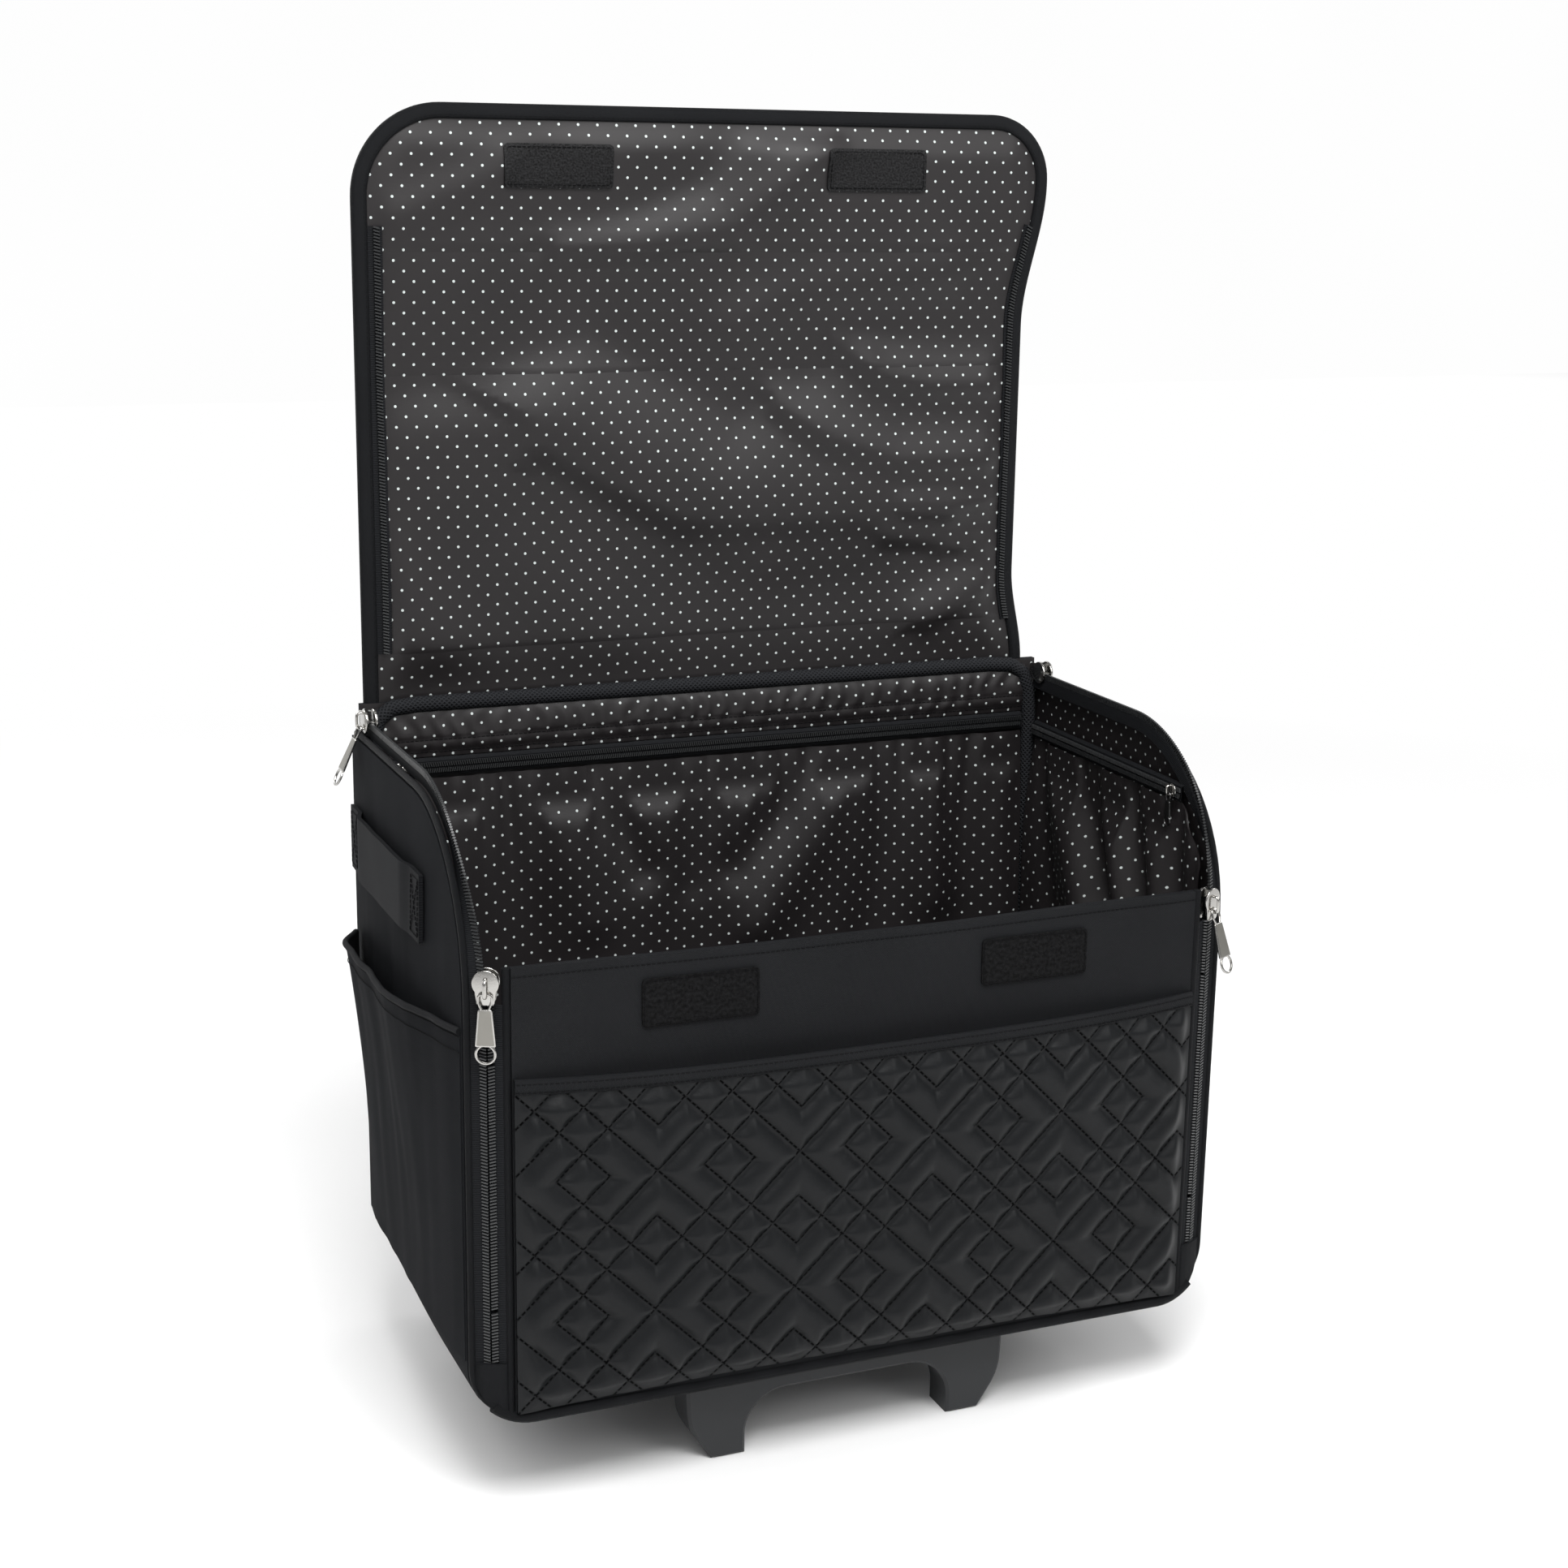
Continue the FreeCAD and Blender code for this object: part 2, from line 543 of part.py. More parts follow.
def build_trim():
    """Piping round the front frame, binding on the hinge line and down the inner corners."""
    x, low = size("piping_x"), size("piping_low")
    front = size("piping_front") - size("origin_back")
    rear = size("inner_back") - size("origin_back")
    top = size("side_top") + size("piping_radius")
    shoulder = size("side_radius") + size("piping_radius")
    corner = size("bottom_radius") - size("wall") / 2
    slant = math.sqrt(0.5)

    def place(sign, across, y, z):
        return FreeCAD.Vector(sign * across, y, z)

    def half_run(sign):
        turn = shoulder * (1 - slant)
        bend = corner * (1 - slant)
        return [
            Part.LineSegment(place(sign, x, rear, top), place(sign, x, front + shoulder, top)),
            Part.Arc(place(sign, x, front + shoulder, top), place(sign, x, front + turn, top - turn),
                     place(sign, x, front, top - shoulder)),
            Part.LineSegment(place(sign, x, front, top - shoulder), place(sign, x, front, low + corner)),
            Part.Arc(place(sign, x, front, low + corner), place(sign, x - bend, front, low + bend),
                     place(sign, x - corner, front, low)),
        ]

    run = [segment.toShape() for segment in half_run(-1)]
    run.append(Part.makeLine(place(-1, x - corner, front, low), place(1, x - corner, front, low)))
    run += [segment.toShape() for segment in reversed(half_run(1))]
    path = Part.Wire(Part.__sortEdges__(run))
    section = Part.Wire(Part.makeCircle(size("piping_radius"), place(-1, x, rear, top), FreeCAD.Vector(0, 1, 0)))
    piping = DOC.addObject("Part::Feature", "edge_piping")
    piping.Shape = path.makePipeShell([section], True, False)
    keep("edge_piping", piping)
    keep("hinge_piping", rod(
        "hinge_piping", "x", "rope_radius", "lid_width", ("-lid_width / 2", "hinge_back", "hinge_height")))
    ropes = []
    for word, sign in SIDES:
        middle = "(inner_half - corner_rope_radius)" if sign > 0 else "-(inner_half - corner_rope_radius)"
        ropes.append(rod(
            word + "_corner_rope", "z", "corner_rope_radius", "side_top - floor_gap - bottom_radius",
            (middle, "inner_back - corner_rope_radius", "floor_gap + bottom_radius")))
    keep("inner_corner_binding", cluster("inner_corner_binding", ropes))


def build_front_panel():
    """Panel that folds down, its piping, quilted pocket, loop patches and half zips."""
    plate = block("panel_plate", ("-panel_width / 2", "panel_width / 2"), ("0 * wall", "panel_thick"),
                  ("panel_low", "panel_top"))
    flat = "half_width - bottom_radius"
    hem = block("panel_hem", ("-(%s)" % flat, flat), ("panel_thick / 2", "side_front"),
                ("panel_low", "panel_low + hem_thick"))
    keep("front_panel", join("front_panel", [plate, hem]))
    edges = [
        rod(word + "_panel_piping", "z", "piping_radius", "panel_top - panel_low",
            ("%d * (panel_width / 2 + piping_radius)" % sign, "panel_thick / 2", "panel_low"))
        for word, sign in SIDES
    ]
    keep("front_panel_piping", cluster("front_panel_piping", edges))
    outer = "panel_width / 2 - pocket_margin"
    pouch = block("pocket_pouch", ("-(%s)" % outer, outer), ("-pocket_gap - pocket_cloth", "0 * wall"),
                  ("panel_low", "pocket_top"))
    rim = block("pocket_rim", ("-(%s)" % outer, outer),
                ("-pocket_gap - pocket_cloth - mouth_binding_thick", "-pocket_gap - pocket_cloth"),
                ("pocket_top - mouth_binding", "pocket_top"))
    inner = outer + " - pocket_seam"
    room = block("pocket_room", ("-(%s)" % inner, inner), ("-pocket_gap", "pocket_cloth"),
                 ("panel_low + pocket_seam", "pocket_top + pocket_seam"))
    keep("front_pocket", cut("front_pocket", join("pocket_cloth_body", [pouch, rim]), [room]))
    patches = [
        block(word + "_loop_patch",
              ("%d * patch_centre - loop_width / 2" % sign, "%d * patch_centre + loop_width / 2" % sign),
              ("-patch_thick", "0 * wall"),
              ("panel_top - loop_drop - loop_height", "panel_top - loop_drop"))
        for word, sign in SIDES
    ]
    keep("front_loop_patches", cluster("front_loop_patches", patches))
    near = size("chain_gap")
    far = near + size("chain_half")
    low_end = "front_slider_height - front_slider_travel + slider_length / 2 + slider_bar"
    high_end = "front_slider_height - slider_bridge_length / 2 - pull_length"
    halves = []
    for word, sign in SIDES:
        halves.append(pad(word + "_panel_teeth", "XY_Plane",
                          [band_strip(sign, -far, -near, size("chain_thick"))], low_end, high_end))
        halves.append(pad(word + "_panel_tape", "XY_Plane",
                          [band_strip(sign, size("band_tape") / 2 - size("band_reach"), -far, size("band_tape"))],
                          low_end, high_end))
    keep("front_zip_tapes", cluster("front_zip_tapes", halves))


def lid_stretches():
    """Return each stiff stretch of the lid with the formulas of its two ends above the hinge axis."""
    return [
        ("lid_rear", "rope_radius + clearance", "lid_rear_run - bend_gap / 2"),
        ("lid_arc_a", "lid_rear_run + bend_gap / 2", "lid_rear_run + lid_arc_run - bend_gap / 2"),
        ("lid_arc_b", "lid_rear_run + lid_arc_run + bend_gap / 2", "lid_rear_run + 2 * lid_arc_run - bend_gap / 2"),
    ]


def build_lid():
    """Four stiff stretches of the lid, the half zips inside it and the hook patches."""
    face = ("hinge_back", "hinge_back + lid_thick")
    across = ("-lid_width / 2", "lid_width / 2")
    for name, start, end in lid_stretches():
        keep(name, block(name, across, face, ("hinge_height + " + start, "hinge_height + " + end)))
    half = size("lid_width") / 2
    start = size("hinge_height") + size("lid_rear_run") + 2 * size("lid_arc_run") + size("bend_gap") / 2
    top = size("hinge_height") + size("lid_length")
    corner = min(size("lid_corner"), top - start)
    flap = rounded([(-half, start), (half, start), (half, top, corner), (-half, top, corner)])
    keep("lid_front", pad("lid_front", "XZ_Plane", [flap], *face))
    patches = [
        block(word + "_hook_patch",
              ("%d * patch_centre - hook_width / 2" % sign, "%d * patch_centre + hook_width / 2" % sign),
              ("hinge_back - patch_thick", "hinge_back"),
              ("hinge_height + lid_length - hook_margin - hook_height", "hinge_height + lid_length - hook_margin"))
        for word, sign in SIDES
    ]
    keep("lid_hook_patches", cluster("lid_hook_patches", patches))
    runs = [
        ("lid_rear_zips", "lid_zip_start", "lid_rear_run - lid_zip_gap"),
        ("lid_arc_a_zips", "lid_rear_run + lid_zip_gap", "lid_rear_run + lid_arc_run - lid_zip_gap"),
        ("lid_arc_b_zips", "lid_rear_run + lid_arc_run + lid_zip_gap", "lid_length - lid_zip_end"),
    ]
    middle = "lid_width / 2 - lid_zip_inset"
    for name, start, end in runs:
        along = ("hinge_height + " + start, "hinge_height + " + end)
        strips = []
        for word, sign in SIDES:
            tape = mirrored_block(word + "_" + name + "_tape", sign,
                                  (middle + " - lid_tape / 2", middle + " + lid_tape / 2"),
                                  ("hinge_back - lid_tape_thick", "hinge_back"), along)
            teeth = mirrored_block(word + "_" + name + "_teeth", sign,
                                   (middle + " - chain_half / 2", middle + " + chain_half / 2"),
                                   ("hinge_back - lid_tape_thick - lid_chain_thick", "hinge_back - lid_tape_thick"),
                                   along)
            strips.append(join(word + "_" + name, [tape, teeth]))
        keep(name, cluster(name, strips))


def turn_outline(points, turned, open_end):
    """Lay an outline drawn along the zip either up or across the slider's own frame."""
    if not turned:
        return points
    return [(open_end * point[1], point[0]) + tuple(point[2:]) for point in points]


def build_slider(label, kind, place, turned=False, open_end=1):
    """Slider with two wings, the post that parts the teeth and the bridge that carries the pull.

    In its own frame the slider faces -Y and its bridge runs along Z; a turned slider's zip runs along X.
    """
    wide, neck, run = size(kind + "_width") / 2, size(kind + "_neck") / 2, size(kind + "_length") / 2
    gap, wing = size(kind + "_gap") / 2, size(kind + "_wing")
    corner = size(kind + "_round")
    wing_points = [(-neck, -run, corner), (neck, -run, corner), (wide, run, corner), (-wide, run, corner)]
    post, post_run = size(kind + "_post") / 2, size(kind + "_post_length")
    post_top = run - wing
    post_points = [(-post, post_top - post_run), (post, post_top - post_run), (post, post_top), (-post, post_top)]
    bridge, bridge_run = size(kind + "_bridge") / 2, size(kind + "_bridge_length") / 2
    eye, bar = size(kind + "_eye"), size(kind + "_bar")
    face = gap + wing
    profile = [
        (-face, -bridge_run), (-face - eye - bar, -bridge_run, bar / 2), (-face - eye - bar, bridge_run, bar / 2),
        (-face, bridge_run), (-face, bridge_run - bar), (-face - eye, bridge_run - bar),
        (-face - eye, bar - bridge_run), (-face, bar - bridge_run),
    ]

    def plate(name, points, low, high):
        body = DOC.addObject("PartDesign::Body", name)
        feature = body.newObject("PartDesign::Pad", name + "_pad")
        feature.Profile = drawing(body, "XZ_Plane", [rounded(turn_outline(points, turned, open_end))])
        body.Tip = feature
        feature.Length = high - low
        feature.Reversed = True
        body.Placement.Base = FreeCAD.Vector(0, low, 0)
        return body

    def arch(name):
        body = DOC.addObject("PartDesign::Body", name)
        feature = body.newObject("PartDesign::Pad", name + "_pad")
        feature.Profile = drawing(body, "YZ_Plane", [rounded(profile)])
        body.Tip = feature
        feature.Length = 2 * bridge
        feature.Midplane = True
        return body

    piece = join(label, [
        plate(label + "_front_wing", wing_points, -face, -gap),
        plate(label + "_back_wing", wing_points, gap, face),
        plate(label + "_post", post_points, -gap, gap),
        arch(label + "_bridge"),
    ])
    piece.Placement = place
    return keep(label, piece)


def pull_pivot(slider_kind, pull_kind):
    """Return the pull's pivot in its slider's own frame."""
    out = size(slider_kind + "_gap") / 2 + size(slider_kind + "_wing") + size(slider_kind + "_eye") / 2
    lowest = size(slider_kind + "_bar") - size(slider_kind + "_bridge_length") / 2
    return FreeCAD.Vector(0, -out, lowest + size(pull_kind + "_thick") / 2 + size("clearance"))


def build_pull(label, kind, place):
    """Flat pull with an eye at its head and a round hole near its end, hanging along -Z from its pivot."""
    head, wide, run = size(kind + "_head") / 2, size(kind + "_width") / 2, size(kind + "_length")
    thick, eye, rail = size(kind + "_thick"), size(kind + "_eye"), size(kind + "_rail")
    hole = size(kind + "_hole")
    top = thick / 2
    outline = rounded([(-head, top, rail), (-wide, -run, wide - rail / 2), (wide, -run, wide - rail / 2), (head, top, rail)])
    inside = head - rail
    slot = rounded([(-inside, -top), (-inside, -top - eye, rail), (inside, -top - eye, rail), (inside, -top)])
    body = DOC.addObject("PartDesign::Body", label)
    sketch = drawing(body, "XZ_Plane", [outline, slot, circle(0, wide - run, hole)])
    feature = body.newObject("PartDesign::Pad", label + "_pad")
    feature.Profile = sketch
    feature.setExpression("Length", bound(kind + "_thick"))
    feature.Midplane = True
    body.Placement = place
    return keep(label, body)


def stand(x, y, z, turn):
    """Return a place in the case, with Y from the front panel's face, turned about Z."""
    spot = FreeCAD.Vector(x, y - size("origin_back"), z)
    return FreeCAD.Placement(spot, FreeCAD.Rotation(FreeCAD.Vector(0, 0, 1), turn))


def build_zip_hardware():
    """Four large sliders and two small ones, each with its pull."""
    band, level = size("band_angle"), size("zip_height")
    front_x, top_x = size("front_zip_x"), size("top_zip_x")
    rear_y = size("case_depth") - size("rear_slider_inset")
    square = 90
    jobs = []
    for word, sign in SIDES:
        lean = size("right_front_lean") if sign > 0 else 0
        front = stand(sign * front_x, size("zip_setback"), size("front_slider_height"), sign * band)
        jobs.append(("front_" + word, "slider", "pull", front, lean, False, 1))
        rear = stand(sign * top_x, rear_y, level, sign * square)
        jobs.append(("rear_" + word, "slider", "pull", rear, size("rear_lean"), True, -sign))
    zip_plane = size("inner_pocket_depth") - size("small_tape") / 2
    rear_small = stand(size("rear_small_inset") - size("rear_pocket_width") / 2,
                       size("inner_back") - zip_plane, size("rear_zip_height"), 0)
    right_small = stand(size("inner_half") - zip_plane, size("right_pocket_front") + size("right_small_inset"),
                        size("right_zip_height"), -square)
    jobs.append(("rear_pocket", "small", "small_pull", rear_small, 0, True, -1))
    jobs.append(("right_pocket", "small", "small_pull", right_small, 0, True, 1))
    for word, slider_kind, pull_kind, place, lean, turned, open_end in jobs:
        build_slider(word + "_slider", slider_kind, place, turned, open_end)
        pivot = FreeCAD.Placement(pull_pivot(slider_kind, pull_kind), FreeCAD.Rotation(FreeCAD.Vector(1, 0, 0), -lean))
        build_pull(word + "_pull", pull_kind, place.multiply(pivot))
        spot = place.multVec(pull_pivot(slider_kind, pull_kind))
        swing = place.Rotation.multVec(FreeCAD.Vector(-1, 0, 0))
        print("pivot %s_pull %.3f %.3f %.3f axis %.4f %.4f %.4f" % (word, *spot, *swing))


def build_inner_pockets():
    """Gathered pockets on the back and right walls, with their small zips."""
    deep = "inner_back - inner_pocket_depth"
    half = "rear_pocket_width / 2"
    keep("rear_inner_pocket", block("rear_inner_pocket", ("-" + half, half), (deep, "inner_back"),
                                    ("inner_pocket_bottom", "rear_zip_height - small_channel")))
    side = "inner_half - inner_pocket_depth"
    along = ("right_pocket_front", "right_pocket_back")
    keep("right_inner_pocket", block("right_inner_pocket", (side, "inner_half"), along,
                                     ("floor_gap + bottom_radius", "right_zip_height - small_channel")))

    def zip_pieces(word, level, strip):
        teeth_top = "%s + small_chain_gap + small_chain_half" % level
        teeth_low = "%s - small_chain_gap - small_chain_half" % level
        upper = [
            strip(word + "_rail", "inner_pocket_depth", "0 * wall",
                  (level + " + small_channel", level + " + small_channel + small_rail")),
            strip(word + "_upper_tape", "inner_pocket_depth", "inner_pocket_depth - small_tape",
                  (teeth_top, level + " + small_channel")),
            strip(word + "_upper_teeth", "inner_pocket_depth - small_tape / 2 + small_chain_thick / 2",
                  "inner_pocket_depth - small_tape / 2 - small_chain_thick / 2",
                  (level + " + small_chain_gap", teeth_top)),
        ]
        lower = [
            strip(word + "_lower_tape", "inner_pocket_depth", "inner_pocket_depth - small_tape",
                  (level + " - small_channel", teeth_low)),
            strip(word + "_lower_teeth", "inner_pocket_depth - small_tape / 2 + small_chain_thick / 2",
                  "inner_pocket_depth - small_tape / 2 - small_chain_thick / 2",
                  (teeth_low, level + " - small_chain_gap")),
        ]
        return [join(word + "_upper", upper), join(word + "_lower", lower)]

    def rear_strip(name, far, near, z):
        return block(name, ("-" + half, half), ("inner_back - (%s)" % far, "inner_back - (%s)" % near), z)

    def right_strip(name, far, near, z):
        return block(name, ("inner_half - (%s)" % far, "inner_half - (%s)" % near), along, z)

    keep("rear_pocket_zip", cluster("rear_pocket_zip", zip_pieces("rear_zip", "rear_zip_height", rear_strip)))
    keep("right_pocket_zip", cluster("right_pocket_zip", zip_pieces("right_zip", "right_zip_height", right_strip)))


def build_side_goods():
    """Outer slip pockets with a sagging mouth, and grab straps with finger room behind them."""
    front, back, low = size("slip_front"), size("slip_back"), size("slip_bottom")
    seam = size("slip_seam")
    mouth_front, mouth_back = size("slip_mouth_front"), size("slip_mouth_back")
    pouch = rounded(shift([(front, low), (back, low), (back, mouth_back), (front, mouth_front)]))
    room = rounded(shift([
        (front + seam, low + seam), (back - seam, low + seam),
        (back - seam, mouth_front + seam), (front + seam, mouth_front + seam),
    ]))
    start, end = size("strap_front"), size("strap_back")
    tab, ramp = size("strap_tab"), size("strap_ramp")
    thick, gap, face = size("strap_thick"), size("strap_gap"), size("half_width")
    rise_front, rise_back = start + tab + ramp, end - tab - ramp
    strap = [
        (0, start), (thick, start), (thick, start + tab), (thick + gap, rise_front), (thick + gap, rise_back),
        (thick, end - tab), (thick, end), (0, end), (0, end - tab), (gap, rise_back), (gap, rise_front), (0, start + tab),
    ]
    for word, sign in SIDES:
        name = word + "_outer_pocket"
        outer = pad(name + "_cloth", "YZ_Plane", [pouch],
                    *outward(sign, "half_width", "half_width + slip_gap + slip_cloth"))
        inner = pad(name + "_room", "YZ_Plane", [room], *outward(sign, "half_width - slip_cloth", "half_width + slip_gap"))
        keep(name, cut(name, outer, [inner]))
        plan = rounded(shift_plan([(sign * (face + point[0]), point[1]) for point in strap]))
        keep(word + "_grab_strap", pad(word + "_grab_strap", "XY_Plane", [plan],
                                       "strap_middle - strap_height / 2", "strap_middle + strap_height / 2"))


def build_foot():
    """Plastic foot under the front edge, an arch on two legs."""
    half, top = size("foot_width") / 2, size("floor_gap")
    right = [
        (half, top), (size("foot_shoulder"), size("foot_knee"), size("foot_knee_radius")), (size("leg_outside"), 0),
        (size("leg_outside") - size("leg_width"), 0),
        (size("leg_outside") - size("leg_width"), size("arch_height"), size("arch_radius")),
    ]
    left = [(-point[0],) + tuple(point[1:]) for point in reversed(right)]
    foot = pad("front_foot", "XZ_Plane", [rounded(right + left)], "foot_setback", "foot_setback + foot_depth")
    DOC.recompute()
    face = size("foot_setback") - size("origin_back")
    base = foot.Tip
    rims = [
        "Edge%d" % (index + 1) for index, edge in enumerate(base.Shape.Edges)
        if edge.BoundBox.YMax - base.Shape.BoundBox.YMin < size("clearance") and edge.BoundBox.ZMin < top - size("wall")
    ]
    rim = foot.newObject("PartDesign::Chamfer", "front_foot_rim")
    rim.Base = (base, rims)
    rim.setExpression("Size", bound("foot_edge"))
    foot.Tip = rim
    keep("front_foot", foot)
    return face


def build_bracket_and_wheels():
    """Rear bracket with wheel wells and tube sockets, axles, hubs and tyres."""
    inner_cheek = ("wheel_x - wheel_width / 2 - cheek_gap - cheek", "wheel_x - wheel_width / 2 - cheek_gap")
    outer_cheek = ("wheel_x + wheel_width / 2 + cheek_gap", "wheel_x + wheel_width / 2 + cheek_gap + cheek")
    rear = "tube_back + tube_depth / 2 + bezel_margin / 3"
    high = ("beam_low", "floor_gap")
    pieces = [block("bracket_beam", ("-(%s)" % inner_cheek[1], inner_cheek[1]), ("case_depth - beam_front", rear), high)]
    holes = []
    for word, sign in SIDES:
        depth = ("axle_back - cheek_round", "axle_back + cheek_round")
        pieces.append(mirrored_block(word + "_inner_cheek", sign, inner_cheek, depth, ("cheek_low", "floor_gap")))
        pieces.append(mirrored_block(word + "_outer_cheek", sign, outer_cheek, depth, ("cheek_low", "floor_gap")))
        pieces.append(mirrored_block(word + "_outer_arm", sign, outer_cheek, ("case_depth - beam_front", "axle_back"), high))
        pieces.append(mirrored_block(word + "_beam_rib", sign, (inner_cheek[1], outer_cheek[1]),
                                     ("case_depth - beam_front", "case_depth - beam_front + beam_rib"), high))
        start = inner_cheek[0] if sign > 0 else "-(%s)" % outer_cheek[1]
        length = "wheel_width + 2 * cheek_gap + 2 * cheek"
        holes.append(rod(word + "_axle_hole", "x", "axle_radius", length, (start, "axle_back", "axle_height")))
        holes.append(mirrored_block(word + "_tube_hole", sign, ("tube_x - tube_width / 2", "tube_x + tube_width / 2"),
                                    ("tube_back - tube_depth / 2", "tube_back + tube_depth / 2"),
                                    ("beam_low + tube_wall", "floor_gap + wall")))
    keep("rear_base_bracket", cut("rear_base_bracket", join("bracket_body", pieces), holes))
    axles = []
    for word, sign in SIDES:
        start = inner_cheek[0] if sign > 0 else "-(%s)" % outer_cheek[1]
        axles.append(rod(word + "_axle", "x", "axle_radius", "wheel_width + 2 * cheek_gap + 2 * cheek",
                         (start, "axle_back", "axle_height")))
    keep("wheel_axles", cluster("wheel_axles", axles))
    half, rim = size("wheel_width") / 2, size("wheel_radius") - size("tyre_thick")
    bore, boss, recess = size("axle_radius") + size("axle_play"), size("hub_boss"), size("hub_recess")
    web = half - recess
    lip = rim - recess
    hub_profile = [
        (-half, bore), (half, bore), (half, boss), (web, boss), (web, lip), (half, lip), (half, rim),
        (-half, rim), (-half, lip), (-web, lip), (-web, boss), (-half, boss),
    ]
    tyre_profile = [
        (-half, rim), (half, rim), (half, size("wheel_radius"), size("tyre_round")),
        (-half, size("wheel_radius"), size("tyre_round")),
    ]
    for word, sign in SIDES:
        for name, profile in (("hub", hub_profile), ("tyre", tyre_profile)):
            label = word + "_" + name
            body = DOC.addObject("PartDesign::Body", label)
            sketch = drawing(body, "XZ_Plane", [rounded(profile)])
            feature = body.newObject("PartDesign::Revolution", label + "_turned")
            feature.Profile = sketch
            feature.ReferenceAxis = (sketch, ["H_Axis"])
            body.setExpression("Placement.Base.x", bound("%d * wheel_x" % sign))
            body.setExpression("Placement.Base.y", bound("axle_back - origin_back"))
            body.setExpression("Placement.Base.z", bound("axle_height"))
            keep(label, body)


def tube_outline(sign, shrink):
    """Return the plan of a handle tube, drawn in from the outer tube's outside on every side."""
    x, y = size("tube_width") / 2 - shrink, size("tube_depth") / 2 - shrink
    corner = max(size("tube_round") - shrink, size("tube_play"))
    middle_x, middle_y = sign * size("tube_x"), size("tube_back")
    return rounded(shift_plan([
        (middle_x - x, middle_y - y, corner), (middle_x + x, middle_y - y, corner),
        (middle_x + x, middle_y + y, corner), (middle_x - x, middle_y + y, corner),
    ]))


def build_handle():
    """Fixed tubes in sewn sleeves, bezel, two moving stages, grip and release button."""
    wall, play = size("tube_wall"), size("tube_play")
    stage = wall + play
    tube_foot = "beam_low + tube_wall"
    bezel_low = "bezel_top - bezel_height"
    stages = [
        ("handle_outer_tubes", 0, tube_foot, bezel_low),
        ("handle_middle_tubes", stage, tube_foot + " + tube_step", "bezel_top"),
        ("handle_upper_tubes", 2 * stage, tube_foot + " + 2 * tube_step", "grip_low + grip_socket"),
    ]
    for name, shrink, low, high in stages:
        tubes = [
            pad("%s_%s" % (word, name), "XY_Plane",
                [tube_outline(sign, shrink), tube_outline(sign, shrink + wall)], low, high)
            for word, sign in SIDES
        ]
        keep(name, cluster(name, tubes))
    sleeves = []
    side = size("tube_width") / 2 + size("sleeve_cloth")
    back = size("tube_back") + size("tube_depth") / 2 + size("sleeve_cloth")
    for word, sign in SIDES:
        left, right = sign * size("tube_x") - side, sign * size("tube_x") + side
        rear_corner = size("tube_round") + size("sleeve_cloth")
        cloth = rounded(shift_plan([
            (left, size("case_depth")), (right, size("case_depth")), (right, back, rear_corner), (left, back, rear_corner)]))
        sleeves.append(pad(word + "_sleeve", "XY_Plane", [cloth, tube_outline(sign, 0)], "sleeve_low", "sleeve_top"))
    keep("handle_sleeves", cluster("handle_sleeves", sleeves))
    reach = size("tube_x") + size("tube_width") / 2 + size("bezel_margin")
    rear = size("tube_back") + size("tube_depth") / 2 + size("sleeve_cloth")
    plate = rounded(shift_plan([
        (-reach, size("case_depth")), (reach, size("case_depth")), (reach, rear, size("tube_round")),
        (-reach, rear, size("tube_round"))]))
    slots = [tube_outline(sign, wall) for word, sign in SIDES]
    keep("handle_top_bezel", pad("handle_top_bezel", "XY_Plane", [plate] + slots, bezel_low, "bezel_top"))
    half = size("tube_x") + size("grip_leg") / 2
    inside = size("tube_x") - size("grip_leg") / 2
    low = size("grip_low")
    top = low + size("grip_height")
    ceiling = top - size("grip_bar")
    corner = size("grip_round")
    bow = rounded([
        (-half, low), (-half, top, corner), (half, top, corner), (half, low), (inside, low),
        (inside, ceiling, corner / 2), (-inside, ceiling, corner / 2), (-inside, low),
    ])
    blank = pad("grip_blank", "XZ_Plane", [bow], "grip_front", "grip_front + grip_depth")
    sockets = [
        pad(word + "_grip_socket", "XY_Plane", [tube_outline(sign, 2 * stage)],
            "grip_low - clearance", "grip_low + grip_socket")
        for word, sign in SIDES
    ]
    well = block("button_well", ("-button_width / 2 - clearance", "button_width / 2 + clearance"),
                 ("tube_back - button_depth / 2 - clearance", "tube_back + button_depth / 2 + clearance"),
                 ("grip_low + grip_height + button_proud - button_height - button_travel - clearance",
                  "grip_low + grip_height + button_proud"))
    keep("handle_grip", cut("handle_grip", blank, sockets + [well]))
    keep("release_button", block(
        "release_button", ("-button_width / 2", "button_width / 2"),
        ("tube_back - button_depth / 2", "tube_back + button_depth / 2"),
        ("grip_low + grip_height + button_proud - button_height", "grip_low + grip_height + button_proud")))


def build_screws():
    """Screws from the base board down into the foot and the rear bracket."""
    rows = [
        ("foot", "foot_screw_spacing", "foot_setback + foot_depth / 2"),
        ("bracket", "bracket_screw_spacing", "case_depth - bracket_screw_inset"),
    ]
    screws = []
    for row, spacing, back in rows:
        for word, sign in SIDES:
            spot = "%d * %s / 2" % (sign, spacing)
            shank = rod("%s_%s_shank" % (row, word), "z", "screw_radius", "screw_bite + wall + board_thick",
                        (spot, back, "floor_gap - screw_bite"))
            head = rod("%s_%s_head" % (row, word), "z", "screw_head", "screw_head_height",
                       (spot, back, "base_top + board_thick"))
            screws.append(join("%s_%s_screw" % (row, word), [shank, head]))
    keep("base_screws", cluster("base_screws", screws))


def check_nodes():
    """Stop if any object failed or any node's shape is missing or broken."""
    for piece in DOC.Objects:
        if "Invalid" in piece.State or "Error" in piece.State:
            raise RuntimeError("failed object: %s %s" % (piece.Label, piece.State))
    for node in NODES:
        if node.Shape.isNull() or not node.Shape.isValid():
            raise RuntimeError("bad shape: " + node.Label)
        if not node.Shape.Solids:
            raise RuntimeError("no solid: " + node.Label)


